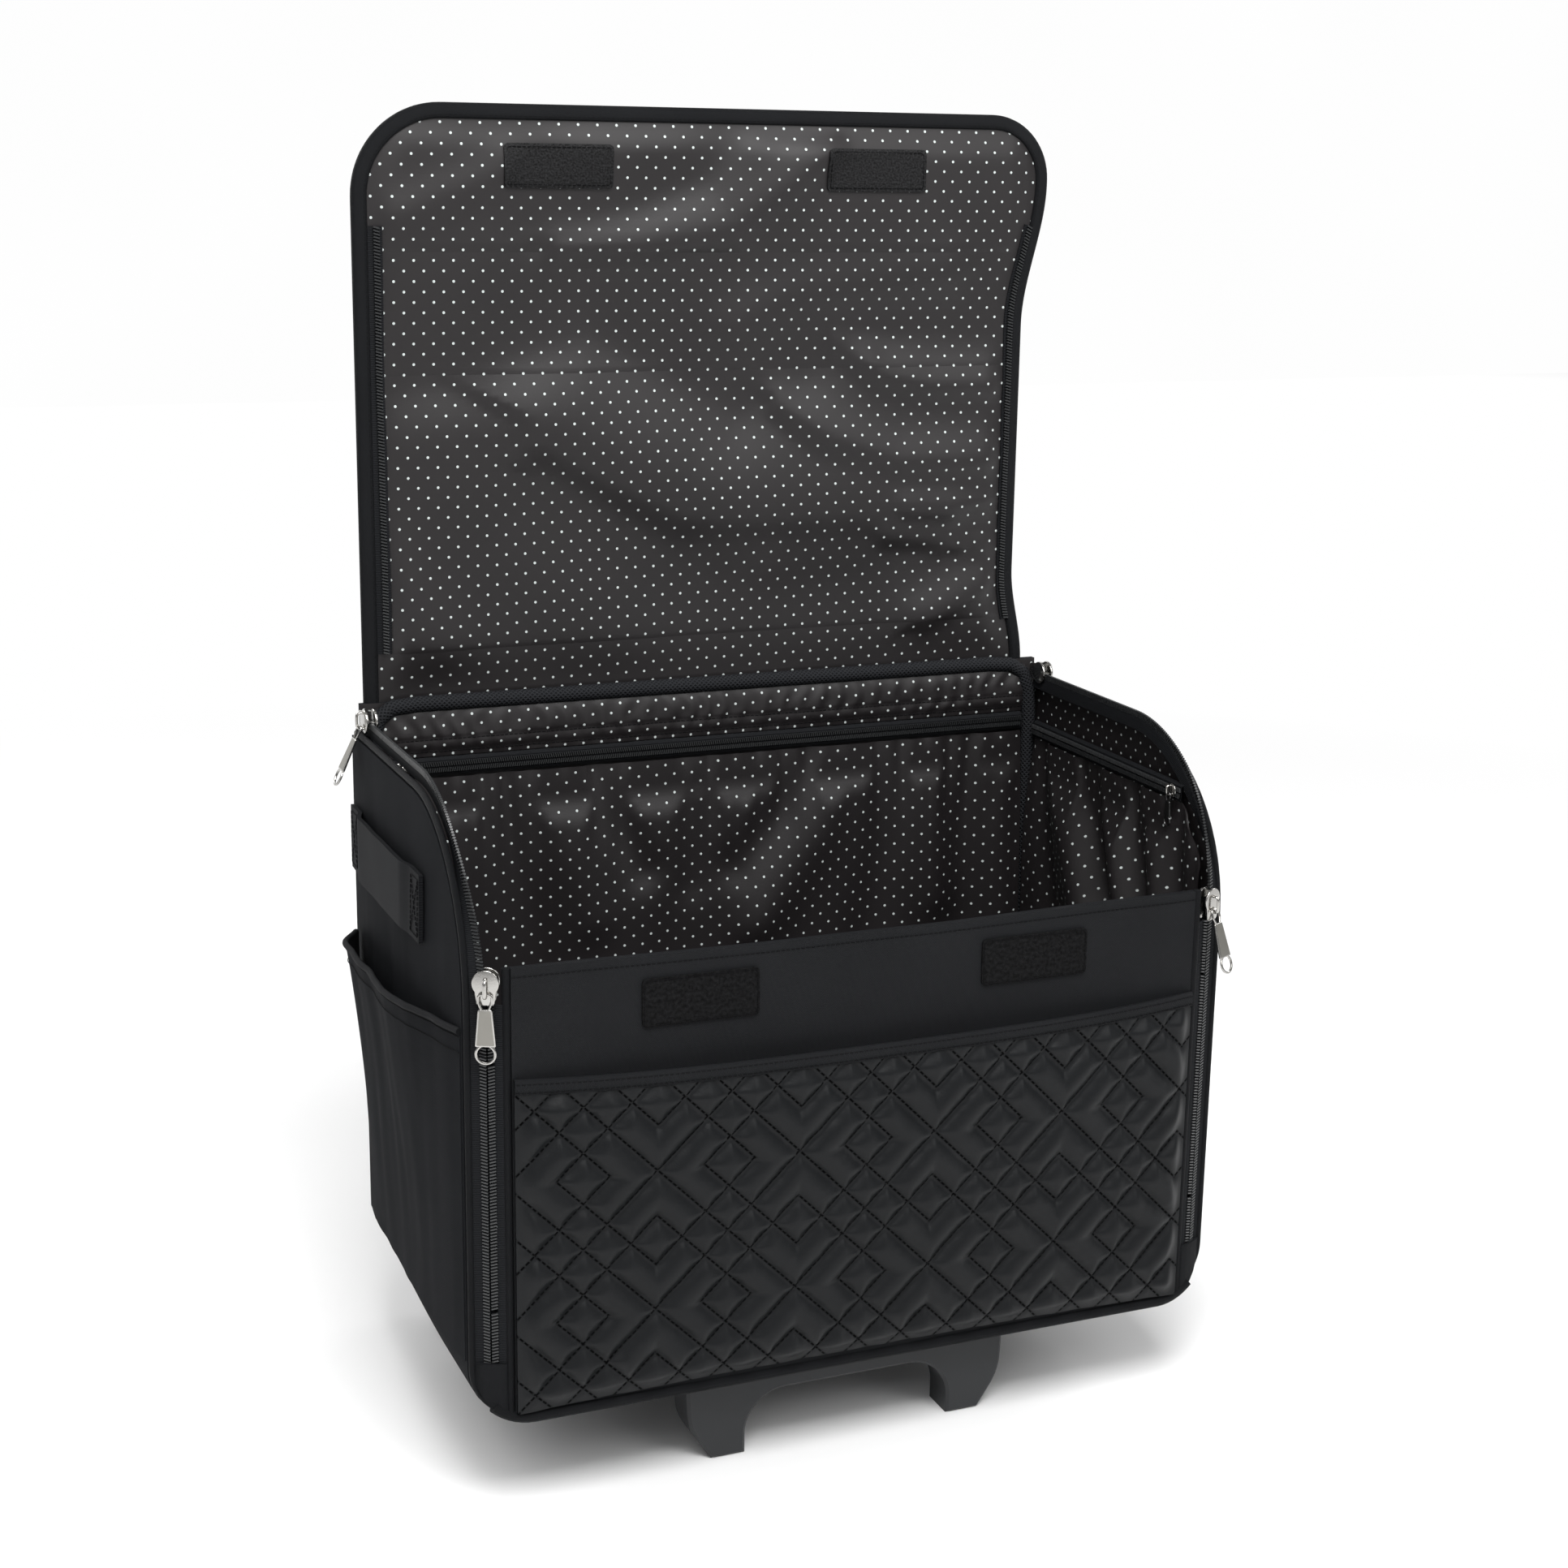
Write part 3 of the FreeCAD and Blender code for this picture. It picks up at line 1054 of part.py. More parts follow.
def main():
    """Build every piece and write one file for each node."""
    fill_sheet()
    build_walls()
    build_side_zips()
    build_trim()
    build_front_panel()
    build_lid()
    build_inner_pockets()
    build_side_goods()
    build_foot()
    build_bracket_and_wheels()
    build_handle()
    build_screws()
    build_zip_hardware()
    DOC.recompute()
    check_nodes()
    os.makedirs("parts", exist_ok=True)
    whole = FreeCAD.BoundBox()
    for node in NODES:
        node.Shape.exportStep(os.path.join("parts", node.Label + ".step"))
        whole.add(node.Shape.BoundBox)
    print("nodes", len(NODES))
    print("box", whole)
    for name in ("hinge_back", "hinge_height", "lid_rear_run", "lid_arc_run", "piping_front", "piping_low"):
        print(name, size(name))


main()
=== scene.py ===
"""Soft-sided rolling case with a quilted front pocket, dressed over the shared CAD frame."""

import logging
import math
from collections.abc import Callable, Sequence
from dataclasses import dataclass
from enum import Enum

import bpy
from mathutils import Matrix, Vector, noise


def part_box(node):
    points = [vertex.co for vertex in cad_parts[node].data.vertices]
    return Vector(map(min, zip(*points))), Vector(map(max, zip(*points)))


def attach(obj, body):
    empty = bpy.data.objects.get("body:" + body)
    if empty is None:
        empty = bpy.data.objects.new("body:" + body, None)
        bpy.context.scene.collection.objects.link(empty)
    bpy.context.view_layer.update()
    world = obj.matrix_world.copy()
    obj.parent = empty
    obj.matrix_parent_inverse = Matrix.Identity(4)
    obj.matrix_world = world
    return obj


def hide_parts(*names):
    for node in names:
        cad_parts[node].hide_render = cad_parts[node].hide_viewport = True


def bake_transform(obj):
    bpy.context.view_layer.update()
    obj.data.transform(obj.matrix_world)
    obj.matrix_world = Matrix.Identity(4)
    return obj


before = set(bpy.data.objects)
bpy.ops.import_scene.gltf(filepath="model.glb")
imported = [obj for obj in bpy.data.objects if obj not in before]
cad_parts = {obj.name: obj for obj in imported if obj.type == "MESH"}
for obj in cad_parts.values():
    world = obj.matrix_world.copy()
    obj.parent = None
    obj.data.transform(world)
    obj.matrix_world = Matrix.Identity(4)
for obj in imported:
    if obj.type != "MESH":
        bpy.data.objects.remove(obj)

LOG = logging.getLogger("rolling_case")
TURN = 2 * math.pi
QUARTER = math.pi / 2
Place = Callable[[float, float], Vector]
Chart = Callable[[Vector, float, float], tuple[float, float]]
Ground = Callable[[float, float], float]
Strip = Callable[[float, float, float], Vector]
Section = Sequence[tuple[float, float]]
Spot = tuple[float, float, float]
Colour = tuple[float, float, float, float]
Socket = bpy.types.NodeSocket
Piece = bpy.types.Object


class Side(Enum):
    """Left or right half of the case, as a sign along X."""

    LEFT = -1
    RIGHT = 1

    @property
    def word(self) -> str:
        """Name of the side in piece names."""
        return self.name.lower()


def spans(node: str) -> list[tuple[float, float]]:
    """Return where a CAD node starts and ends along X, Y and Z, to the nearest micrometre."""
    return [(round(low, 6), round(high, 6)) for low, high in zip(*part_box(node))]


SIDE_X, SIDE_Y, SIDE_Z = spans("right_side_panel")
_, BACK_Y, BACK_Z = spans("back_panel")
_, _, BASE_Z = spans("base_panel")
PANEL_X, PANEL_Y, PANEL_Z = spans("front_panel")
_, ZIP_Y, ZIP_Z = spans("right_side_zip")


@dataclass(frozen=True)
class Case:
    """Main places of the case in the row frame, in metres, most of them from the CAD boxes."""

    half: float = SIDE_X[1]
    wall: float = SIDE_X[1] - SIDE_X[0]
    back: float = BACK_Y[1]
    back_top: float = BACK_Z[1]
    inner_back: float = BACK_Y[0]
    base: float = BASE_Z[0]
    corner: float = BASE_Z[1] - BASE_Z[0]
    corner_top: float = BASE_Z[1]
    side_front: float = SIDE_Y[0]
    side_top: float = SIDE_Z[1]
    shoulder: float = 0.10525
    face: float = PANEL_Y[0]
    panel_half: float = PANEL_X[1]
    panel_low: float = PANEL_Z[0]
    panel_top: float = PANEL_Z[1]
    zip_top: float = 0.4585
    zip_radius: float = 0.116
    zip_y: float = -0.0224
    zip_z: float = 0.3425
    zip_rear: float = ZIP_Y[1]
    zip_low: float = ZIP_Z[0]
    top_zip_x: float = 0.2571
    front_zip_x: float = 0.2505
    band: float = math.radians(25)

    def side_edge(self, y: float) -> float:
        """Return the height of the side panels' top edge.

        Args:
            y: Place along the case's depth.

        Returns:
            Height of the edge, which rounds down to the front.
        """
        short = self.side_front + self.shoulder - y
        if short <= 0:
            return self.side_top
        reach = max(self.shoulder**2 - short**2, 0.0)
        return self.side_top - self.shoulder + math.sqrt(reach)


CASE = Case()


def smooth(value: float, low: float = 0.0, high: float = 1.0) -> float:
    """Return 0 for a value below low, 1 above high and an eased share between."""
    share = min(max((value - low) / (high - low), 0.0), 1.0)
    return share * share * (3 - 2 * share)


def bump(value: float, middle: float, spread: float) -> float:
    """Return the height at a value of a soft hill that rises to 1 at its middle."""
    return math.exp(-(((value - middle) / spread) ** 2))


def ripple(x: float, y: float, seed: float) -> float:
    """Return smooth noise from -1 to 1 at a place on a cloth, for one seed."""
    return noise.noise(Vector((x, y, seed)))


def focus(piece: Piece) -> None:
    """Select one piece alone and make it active."""
    bpy.ops.object.select_all(action="DESELECT")
    piece.select_set(True)
    bpy.context.view_layer.objects.active = piece


def apply(piece: Piece, kind: str, **settings: object) -> None:
    """Add a modifier and apply it.

    Args:
        piece: Piece to change.
        kind: Modifier type.
        **settings: Values of the modifier.
    """
    modifier = piece.modifiers.new(kind.lower(), kind)
    for key, value in settings.items():
        setattr(modifier, key, value)
    focus(piece)
    bpy.ops.object.modifier_apply(modifier=modifier.name)


def soften(piece: Piece, degrees: float = 40.0) -> Piece:
    """Shade a piece smooth except at edges sharper than an angle.

    Args:
        piece: Piece to shade.
        degrees: Edge angle that stays sharp.

    Returns:
        The same piece.
    """
    focus(piece)
    bpy.ops.object.shade_smooth_by_angle(angle=math.radians(degrees))
    return piece


def primitive(kind: str, **settings: object) -> Piece:
    """Add one of Blender's primitive meshes and return it.

    Args:
        kind: Name of the mesh.
        **settings: Values of the operator.

    Returns:
        The mesh, selected alone.
    """
    bpy.ops.object.select_all(action="DESELECT")
    getattr(bpy.ops.mesh, "primitive_" + kind + "_add")(**settings)
    return bpy.context.object


def fixed(piece: Piece) -> Piece:
    """Apply a piece's own place, turn and scale to its mesh, and return it."""
    focus(piece)
    bpy.ops.object.transform_apply(location=True, rotation=True, scale=True)
    return piece


def on_mesh(piece: Piece, step: Callable[..., object], **settings: object) -> Piece:
    """Run a mesh operator on all of a piece.

    Args:
        piece: Piece to change.
        step: Operator to run.
        **settings: Values of the operator.

    Returns:
        The same piece.
    """
    focus(piece)
    bpy.ops.object.mode_set(mode="EDIT")
    bpy.ops.mesh.select_all(action="SELECT")
    step(**settings)
    bpy.ops.object.mode_set(mode="OBJECT")
    return piece


def sheet(name: str, columns: int, rows: int, place: Place, chart: Chart) -> Piece:
    """Make a grid and lay each of its points on a surface.

    Args:
        name: Name of the piece.
        columns: Faces along the first way.
        rows: Faces along the second way.
        place: Surface point for shares of the two ways.
        chart: Texture place in metres for a point and its two shares.

    Returns:
        The grid on its surface.
    """
    piece = primitive("grid", x_subdivisions=columns, y_subdivisions=rows, size=1)
    piece.name = name
    mesh = piece.data
    mesh.name = name
    shares = [(point.co.x + 0.5, point.co.y + 0.5) for point in mesh.vertices]
    spots = [place(*share) for share in shares]
    for point, spot in zip(mesh.vertices, spots):
        point.co = spot
    layer = mesh.uv_layers.active.data
    for loop in mesh.loops:
        index = loop.vertex_index
        layer[loop.index].uv = chart(spots[index], *shares[index])
    mesh.update()
    return piece


def front_chart(spot: Vector, _u: float, _v: float) -> tuple[float, float]:
    """Lay the texture out as seen from the front."""
    return spot.x, spot.z


def side_chart(spot: Vector, _u: float, _v: float) -> tuple[float, float]:
    """Lay the texture out as seen from the side."""
    return spot.y, spot.z


def flat_chart(width: float, length: float) -> Chart:
    """Return a chart that spreads the texture evenly over a strip of that size."""
    return lambda _spot, u, v: (u * width, v * length)


def swept(name: str, section: Section, rows: int, at: Strip, chart: Chart) -> Piece:
    """Make a sheet of one cross-section, from the point at a share along it for a corner's two distances."""
    last = len(section) - 1
    return sheet(name, last, rows, lambda u, v: at(v, *section[round(u * last)]), chart)


def thicken(piece: Piece, depth: float, lined: bool = False) -> Piece:
    """Give a sheet its depth behind its face, where a lined one takes its second material, and return it."""
    apply(piece, "SOLIDIFY", thickness=depth, offset=-1, material_offset=int(lined))
    return piece


def spaced(path: Sequence[Vector], step: float) -> list[Vector]:
    """Return points at even steps along a path.

    Args:
        path: Corner points of the path.
        step: Distance between the points.

    Returns:
        Evenly spaced points with both ends kept.
    """
    runs = [0.0]
    for first, second in zip(path, path[1:]):
        runs.append(runs[-1] + (second - first).length)
    count = max(int(round(runs[-1] / step)), 1)
    points, leg = [], 0
    for index in range(count + 1):
        run = runs[-1] * index / count
        while leg < len(path) - 2 and runs[leg + 1] < run:
            leg += 1
        span = max(runs[leg + 1] - runs[leg], 1e-9)
        points.append(path[leg].lerp(path[leg + 1], (run - runs[leg]) / span))
    return points


def tube(name: str, path: Sequence[Vector], radius: float, step: float = 0.004, sides: int = 12) -> Piece:
    """Make a round cord along a path, with its ends rounded off.

    Args:
        name: Name of the piece.
        path: Corner points of the path.
        radius: Radius of the cord.
        step: Distance between its rings.
        sides: Faces round the cord.

    Returns:
        The cord as a closed mesh.
    """
    points = spaced(path, step)
    points = [points[0]] + points + [points[-1]]
    frames = []
    across = Vector((0.31, 0.52, 0.79))
    for index, spot in enumerate(points):
        along = points[min(index + 1, len(points) - 1)] - points[max(index - 1, 0)]
        along.normalize()
        across = (across - along * across.dot(along)).normalized()
        frames.append((spot, across.copy(), along.cross(across)))
    rows = len(points) - 1

    def place(u: float, v: float) -> Vector:
        """Return the cord's point for two shares."""
        spot, first, second = frames[round(v * rows)]
        reach = 0.0 if round(v * rows) in (0, rows) else radius
        angle = u * TURN
        return spot + (first * math.cos(angle) + second * math.sin(angle)) * reach

    piece = sheet(name, sides, rows, place, flat_chart(TURN * radius, step * rows))
    on_mesh(piece, bpy.ops.mesh.remove_doubles, threshold=1e-6)
    return soften(piece, 70)


def quarter_arc(middle: Spot, first: Spot, second: Spot, steps: int = 14) -> list[Vector]:
    """Return points on a quarter turn from one radius to another about a middle."""
    turns = [QUARTER * step / steps for step in range(steps + 1)]
    return [Vector(middle) + Vector(first) * math.cos(turn) + Vector(second) * math.sin(turn) for turn in turns]


def copies(name: str, pattern: Piece, spots: Sequence[Matrix]) -> Piece:
    """Repeat a small mesh at many places as one piece.

    Args:
        name: Name of the piece.
        pattern: Mesh to repeat, which is used up.
        spots: Place and turn of each copy.

    Returns:
        The copies as one mesh.
    """
    corners = [point.co.copy() for point in pattern.data.vertices]
    faces = [tuple(face.vertices) for face in pattern.data.polygons]
    points, polygons = [], []
    for spot in spots:
        start = len(points)
        points.extend(spot @ corner for corner in corners)
        polygons.extend(tuple(start + index for index in face) for face in faces)
    mesh = bpy.data.meshes.new(name)
    mesh.from_pydata(points, [], polygons)
    mesh.update()
    piece = bpy.data.objects.new(name, mesh)
    bpy.context.scene.collection.objects.link(piece)
    bpy.data.objects.remove(pattern)
    return piece


def basis(spot: Vector, first: Vector, second: Vector, third: Vector) -> Matrix:
    """Return the matrix that puts a local frame's axes along three vectors at a spot."""
    turned = Matrix((first, second, third)).transposed().to_4x4()
    turned.translation = spot
    return turned


def joined(name: str, pieces: Sequence[Piece]) -> Piece:
    """Join pieces into one mesh.

    Args:
        name: Name of the joined piece.
        pieces: Pieces to join.

    Returns:
        The joined piece.
    """
    focus(pieces[0])
    for piece in pieces[1:]:
        piece.select_set(True)
    if len(pieces) > 1:
        bpy.ops.object.join()
    pieces[0].name = name
    pieces[0].data.name = name
    return pieces[0]


def paint(piece: Piece, *materials: bpy.types.Material) -> Piece:
    """Give a piece its materials in order, and return it."""
    piece.data.materials.clear()
    for material in materials:
        piece.data.materials.append(material)
    return piece


def settle(piece: Piece, body: str, slot: str, *nodes: str) -> Piece:
    """Let a piece ride on a body and hide the CAD it stands for.

    Args:
        piece: Finished piece.
        body: CAD body that carries it.
        slot: Material slot of the record; not used.
        *nodes: CAD nodes that it replaces.

    Returns:
        The same piece.
    """
    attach(piece, body)
    if nodes:
        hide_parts(*nodes)
    LOG.info("%s on %s", piece.name, body)
    return piece


class Bench:
    """Node tree of one material, with short ways to add and link nodes."""

    def __init__(self, name: str) -> None:
        """Start a material with its surface shader."""
        self.material = bpy.data.materials.new(name)
        self.material.use_nodes = True
        self.tree = self.material.node_tree
        self.surface = self.tree.nodes["Principled BSDF"]

    def link(self, value: Socket | float | Colour, socket: Socket) -> None:
        """Feed a socket from another socket, or set its value."""
        if isinstance(value, bpy.types.NodeSocket):
            self.tree.links.new(value, socket)
        else:
            socket.default_value = value

    def set(self, **values: Socket | float | Colour) -> None:
        """Feed inputs of the surface shader, with underscores for the spaces in their names."""
        for key, value in values.items():
            self.link(value, self.surface.inputs[key.replace("_", " ")])

    def math(self, operation: str, *values: Socket | float) -> Socket:
        """Add one sum and return its result.

        Args:
            operation: Name of the sum.
            *values: Numbers or sockets that go in.

        Returns:
            Socket of the result.
        """
        node = self.tree.nodes.new("ShaderNodeMath")
        node.operation = operation
        for index, value in enumerate(values):
            self.link(value, node.inputs[index])
        return node.outputs[0]

    def chart(self) -> tuple[Socket, Socket, Socket]:
        """Return the texture place and its two parts, in metres."""
        place = self.tree.nodes.new("ShaderNodeTexCoord")
        parts = self.tree.nodes.new("ShaderNodeSeparateXYZ")
        self.link(place.outputs["UV"], parts.inputs[0])
        return place.outputs["UV"], parts.outputs[0], parts.outputs[1]

    def body_place(self) -> Socket:
        """Return the place on the object itself, in metres."""
        return self.tree.nodes.new("ShaderNodeTexCoord").outputs["Object"]

    def cloud(self, place: Socket, scale: float, detail: float = 2.0) -> Socket:
        """Add soft noise and return its value.

        Args:
            place: Texture place.
            scale: Clouds per metre.
            detail: Finer layers on top.

        Returns:
            Socket of the noise from 0 to 1.
        """
        node = self.tree.nodes.new("ShaderNodeTexNoise")
        self.link(place, node.inputs["Vector"])
        node.inputs["Scale"].default_value = scale
        node.inputs["Detail"].default_value = detail
        return node.outputs["Fac"]

    def mix(self, share: Socket | float, low: Socket | Colour, high: Socket | Colour) -> Socket:
        """Add a blend of two colours and return it.

        Args:
            share: How much of the second colour.
            low: First colour.
            high: Second colour.

        Returns:
            Socket of the blended colour.
        """
        node = self.tree.nodes.new("ShaderNodeMix")
        node.data_type = "RGBA"
        self.link(share, node.inputs[0])
        self.link(low, node.inputs[6])
        self.link(high, node.inputs[7])
        return node.outputs[2]

    def relief(self, height: Socket, depth: float, strength: float = 1.0) -> None:
        """Shade the surface as if it rose with a height.

        Args:
            height: Height from 0 to 1.
            depth: Rise in metres.
            strength: Share of the effect.
        """
        node = self.tree.nodes.new("ShaderNodeBump")
        node.inputs["Strength"].default_value = strength
        node.inputs["Distance"].default_value = depth
        self.link(height, node.inputs["Height"])
        self.link(node.outputs["Normal"], self.surface.inputs["Normal"])

    def wave(self, along: Socket, pitch: float) -> Socket:
        """Return a sine from -1 to 1 along a part of the texture place, with its pitch in metres."""
        return self.math("SINE", self.math("MULTIPLY", along, TURN / pitch))


def shade(colour: Colour, share: float) -> Colour:
    """Return a colour made darker or lighter by a share."""
    return tuple(part * share for part in colour[:3]) + (1.0,)


@dataclass(frozen=True)
class Cloth:
    """Woven cloth with a faint thread pattern."""

    name: str
    colour: Colour
    rough: float = 0.62
    thread: float = 0.0011
    depth: float = 0.00012
    gloss: float = 0.06
    patch: float = 0.2
    grain: float = 900.0

    def make(self) -> bpy.types.Material:
        """Return the material of this cloth."""
        bench = Bench(self.name)
        place, u, v = bench.chart()
        weave = bench.math("MULTIPLY", bench.wave(u, self.thread), bench.wave(v, self.thread))
        grain = bench.cloud(place, self.grain, 2.0)
        patch = bench.cloud(place, 16.0, 3.0)
        low, high = shade(self.colour, 1 - self.patch), shade(self.colour, 1 + self.patch)
        bench.set(Base_Color=bench.mix(patch, low, high), Roughness=self.rough, Specular_IOR_Level=self.gloss)
        bench.relief(bench.math("MULTIPLY_ADD", grain, 1.4, weave), self.depth)
        return bench.material


@dataclass(frozen=True)
class DottedLining:
    """Dark satin lining with rows of small pale dots."""

    name: str
    colour: Colour
    dot: Colour
    across: float = 0.0135
    down: float = 0.0136
    radius: float = 0.0009
    crisp: float = 4000.0
    rough: float = 0.47
    gloss: float = 0.42
    patch: float = 0.25
    blotch: float = 14.0
    grain: float = 700.0

    def make(self) -> bpy.types.Material:
        """Return the material of the lining."""
        bench = Bench(self.name)
        place, u, v = bench.chart()
        near = None
        for shift in (0.0, 0.5):
            parts = []
            for part, pitch in ((u, self.across), (v, self.down)):
                moved = bench.math("ADD", part, shift * pitch)
                parts.append(bench.math("WRAP", moved, pitch / 2, -pitch / 2))
            square = bench.math("MULTIPLY", parts[1], parts[1])
            reach = bench.math("SQRT", bench.math("MULTIPLY_ADD", parts[0], parts[0], square))
            near = reach if near is None else bench.math("MINIMUM", near, reach)
        edge = bench.math("MULTIPLY", bench.math("SUBTRACT", self.radius, near), self.crisp)
        spot = bench.math("ADD", edge, 0.5)
        spot.node.use_clamp = True
        patch = bench.cloud(place, self.blotch, 3.0)
        cloth = bench.mix(patch, shade(self.colour, 1 - self.patch), shade(self.colour, 1 + self.patch))
        bench.set(Base_Color=bench.mix(spot, cloth, self.dot), Roughness=self.rough, Specular_IOR_Level=self.gloss)
        bench.relief(bench.cloud(place, self.grain, 2.0), 0.0001, 0.4)
        return bench.material


@dataclass(frozen=True)
class QuiltedSatin:
    """Padded satin with sewn seams in a stepped diamond pattern."""

    name: str
    colour: Colour
    period: float = 0.0944
    ring: float = 0.0215
    x_node: float = -0.1003
    z_node: float = 0.1764
    thread: float = 0.00055
    stitch: float = 0.0042
    # Width of the band of painted shade along each seam; the next field sets how much that painted shade darkens the
    # satin.
    crease: float = 0.001
    crease_shade_share: float = 0.3
    rough: float = 0.42
    gloss: float = 0.2
    dulled: float = 0.18
    patch: float = 0.15
    blotch: float = 20.0
    grain: float = 700.0

    def seam(self, x: float, z: float) -> float:
        """Return the distance from a place on the cloth to the nearest seam.

        Args:
            x: Place across.
            z: Place up.

        Returns:
            Distance in metres.
        """
        half = self.period / 2
        right = (x - self.x_node + half) % self.period - half
        up = (z - self.z_node + half) % self.period - half
        ways = ((right - up) / math.sqrt(2), (right + up) / math.sqrt(2))
        return min(min(abs(way), abs(abs(way) - self.ring)) for way in ways)

    def make(self) -> bpy.types.Material:
        """Return the material of the quilted cloth."""
        bench = Bench(self.name)
        place, u, v = bench.chart()
        half = self.period / 2
        right = bench.math("WRAP", bench.math("SUBTRACT", u, self.x_node), half, -half)
        up = bench.math("WRAP", bench.math("SUBTRACT", v, self.z_node), half, -half)
        near, along = None, None
        for sign, other in ((-1, 1), (1, -1)):
            way = bench.math("MULTIPLY", bench.math("MULTIPLY_ADD", up, sign, right), math.sqrt(0.5))
            run = bench.math("MULTIPLY", bench.math("MULTIPLY_ADD", v, other, u), math.sqrt(0.5))
            size = bench.math("ABSOLUTE", way)
            ring = bench.math("ABSOLUTE", bench.math("SUBTRACT", size, self.ring))
            reach = bench.math("MINIMUM", size, ring)
            if near is None:
                near, along = reach, run
            else:
                first = bench.math("LESS_THAN", near, reach)
                gap = bench.math("SUBTRACT", along, run)
                along = bench.math("MULTIPLY_ADD", gap, first, run)
                near = bench.math("MINIMUM", near, reach)
        line = bench.math("LESS_THAN", near, self.thread)
        dash = bench.math("GREATER_THAN", bench.wave(along, self.stitch), -0.55)
        thread = bench.math("MULTIPLY", line, dash)
        # Painted shade: a band along each seam is darkened where the satin dips into the crease. The thread below keeps
        # its own dark colour.
        crease = bench.math("MULTIPLY", bench.math("LESS_THAN", near, self.crease), self.crease_shade_share)
        patch = bench.cloud(place, self.blotch, 3.0)
        satin = bench.mix(patch, shade(self.colour, 1 - self.patch), shade(self.colour, 1 + self.patch))
        crease_shaded = bench.mix(crease, satin, shade(self.colour, 0.3))
        bench.set(Base_Color=bench.mix(thread, crease_shaded, shade(self.colour, 0.1)))
        dull = bench.math("MAXIMUM", thread, crease)
        bench.set(Roughness=self.rough)
        bench.set(Specular_IOR_Level=bench.math("MULTIPLY_ADD", dull, -self.dulled, self.gloss))
        bench.relief(bench.cloud(place, self.grain, 2.0), 0.00015, 0.6)
        return bench.material


@dataclass(frozen=True)
class Braid:
    """Cord or tape with slanting ribs."""

    name: str
    colour: Colour
    rib: float = 0.0016
    slant: float = 1.0
    depth: float = 0.0004
    rough: float = 0.6

    def make(self) -> bpy.types.Material:
        """Return the material of the braid."""
        bench = Bench(self.name)
        _place, u, v = bench.chart()
        first = bench.wave(bench.math("MULTIPLY_ADD", u, self.slant, v), self.rib)
        second = bench.wave(bench.math("MULTIPLY_ADD", u, -self.slant, v), self.rib)
        ribs = bench.math("MAXIMUM", first, second)
        level = bench.math("MULTIPLY_ADD", ribs, 0.5, 0.5)
        # The colour follows the rib height: painted highlight on the rib tops and painted shade in the grooves between
        # them.
        bench.set(Base_Color=bench.mix(level, shade(self.colour, 0.5), shade(self.colour, 1.3)))
        bench.set(Roughness=self.rough, Specular_IOR_Level=0.04)
        bench.relief(level, self.depth, 0.7)
        return bench.material


@dataclass(frozen=True)
class Pile:
    """Hook or loop pile."""

    name: str
    colour: Colour
    rough: float = 0.9
    depth: float = 0.0012
    grain: float = 420.0

    def make(self) -> bpy.types.Material:
        """Return the material of the pile."""
        bench = Bench(self.name)
        place, _u, _v = bench.chart()
        fuzz = bench.cloud(place, self.grain, 4.0)
        level = bench.math("MULTIPLY_ADD", fuzz, 3.0, -1.0)
        level.node.use_clamp = True
        bench.set(Base_Color=bench.mix(level, shade(self.colour, 0.25), shade(self.colour, 1.8)))
        bench.set(Roughness=self.rough, Specular_IOR_Level=0.12)
        bench.relief(fuzz, self.depth, 0.9)
        return bench.material


@dataclass(frozen=True)
class Hard:
    """Plastic, rubber or metal with a fine grain."""

    name: str
    colour: Colour
    rough: float = 0.45
    metal: float = 0.0
    grain: float = 900.0
    depth: float = 0.00008
    gloss: float = 0.3

    def make(self) -> bpy.types.Material:
        """Return the material."""
        bench = Bench(self.name)
        place = bench.body_place()
        patch = bench.cloud(place, 35.0, 3.0)
        bench.set(Base_Color=bench.mix(patch, shade(self.colour, 0.9), shade(self.colour, 1.1)))
        bench.set(Metallic=self.metal, Specular_IOR_Level=self.gloss)
        bench.set(Roughness=bench.math("MULTIPLY_ADD", patch, 0.12, self.rough - 0.06))
        bench.relief(bench.cloud(place, self.grain, 2.0), self.depth, 0.5)
        return bench.material


QUILT = QuiltedSatin("quilted_satin", (0.0048, 0.0054, 0.0062, 1))


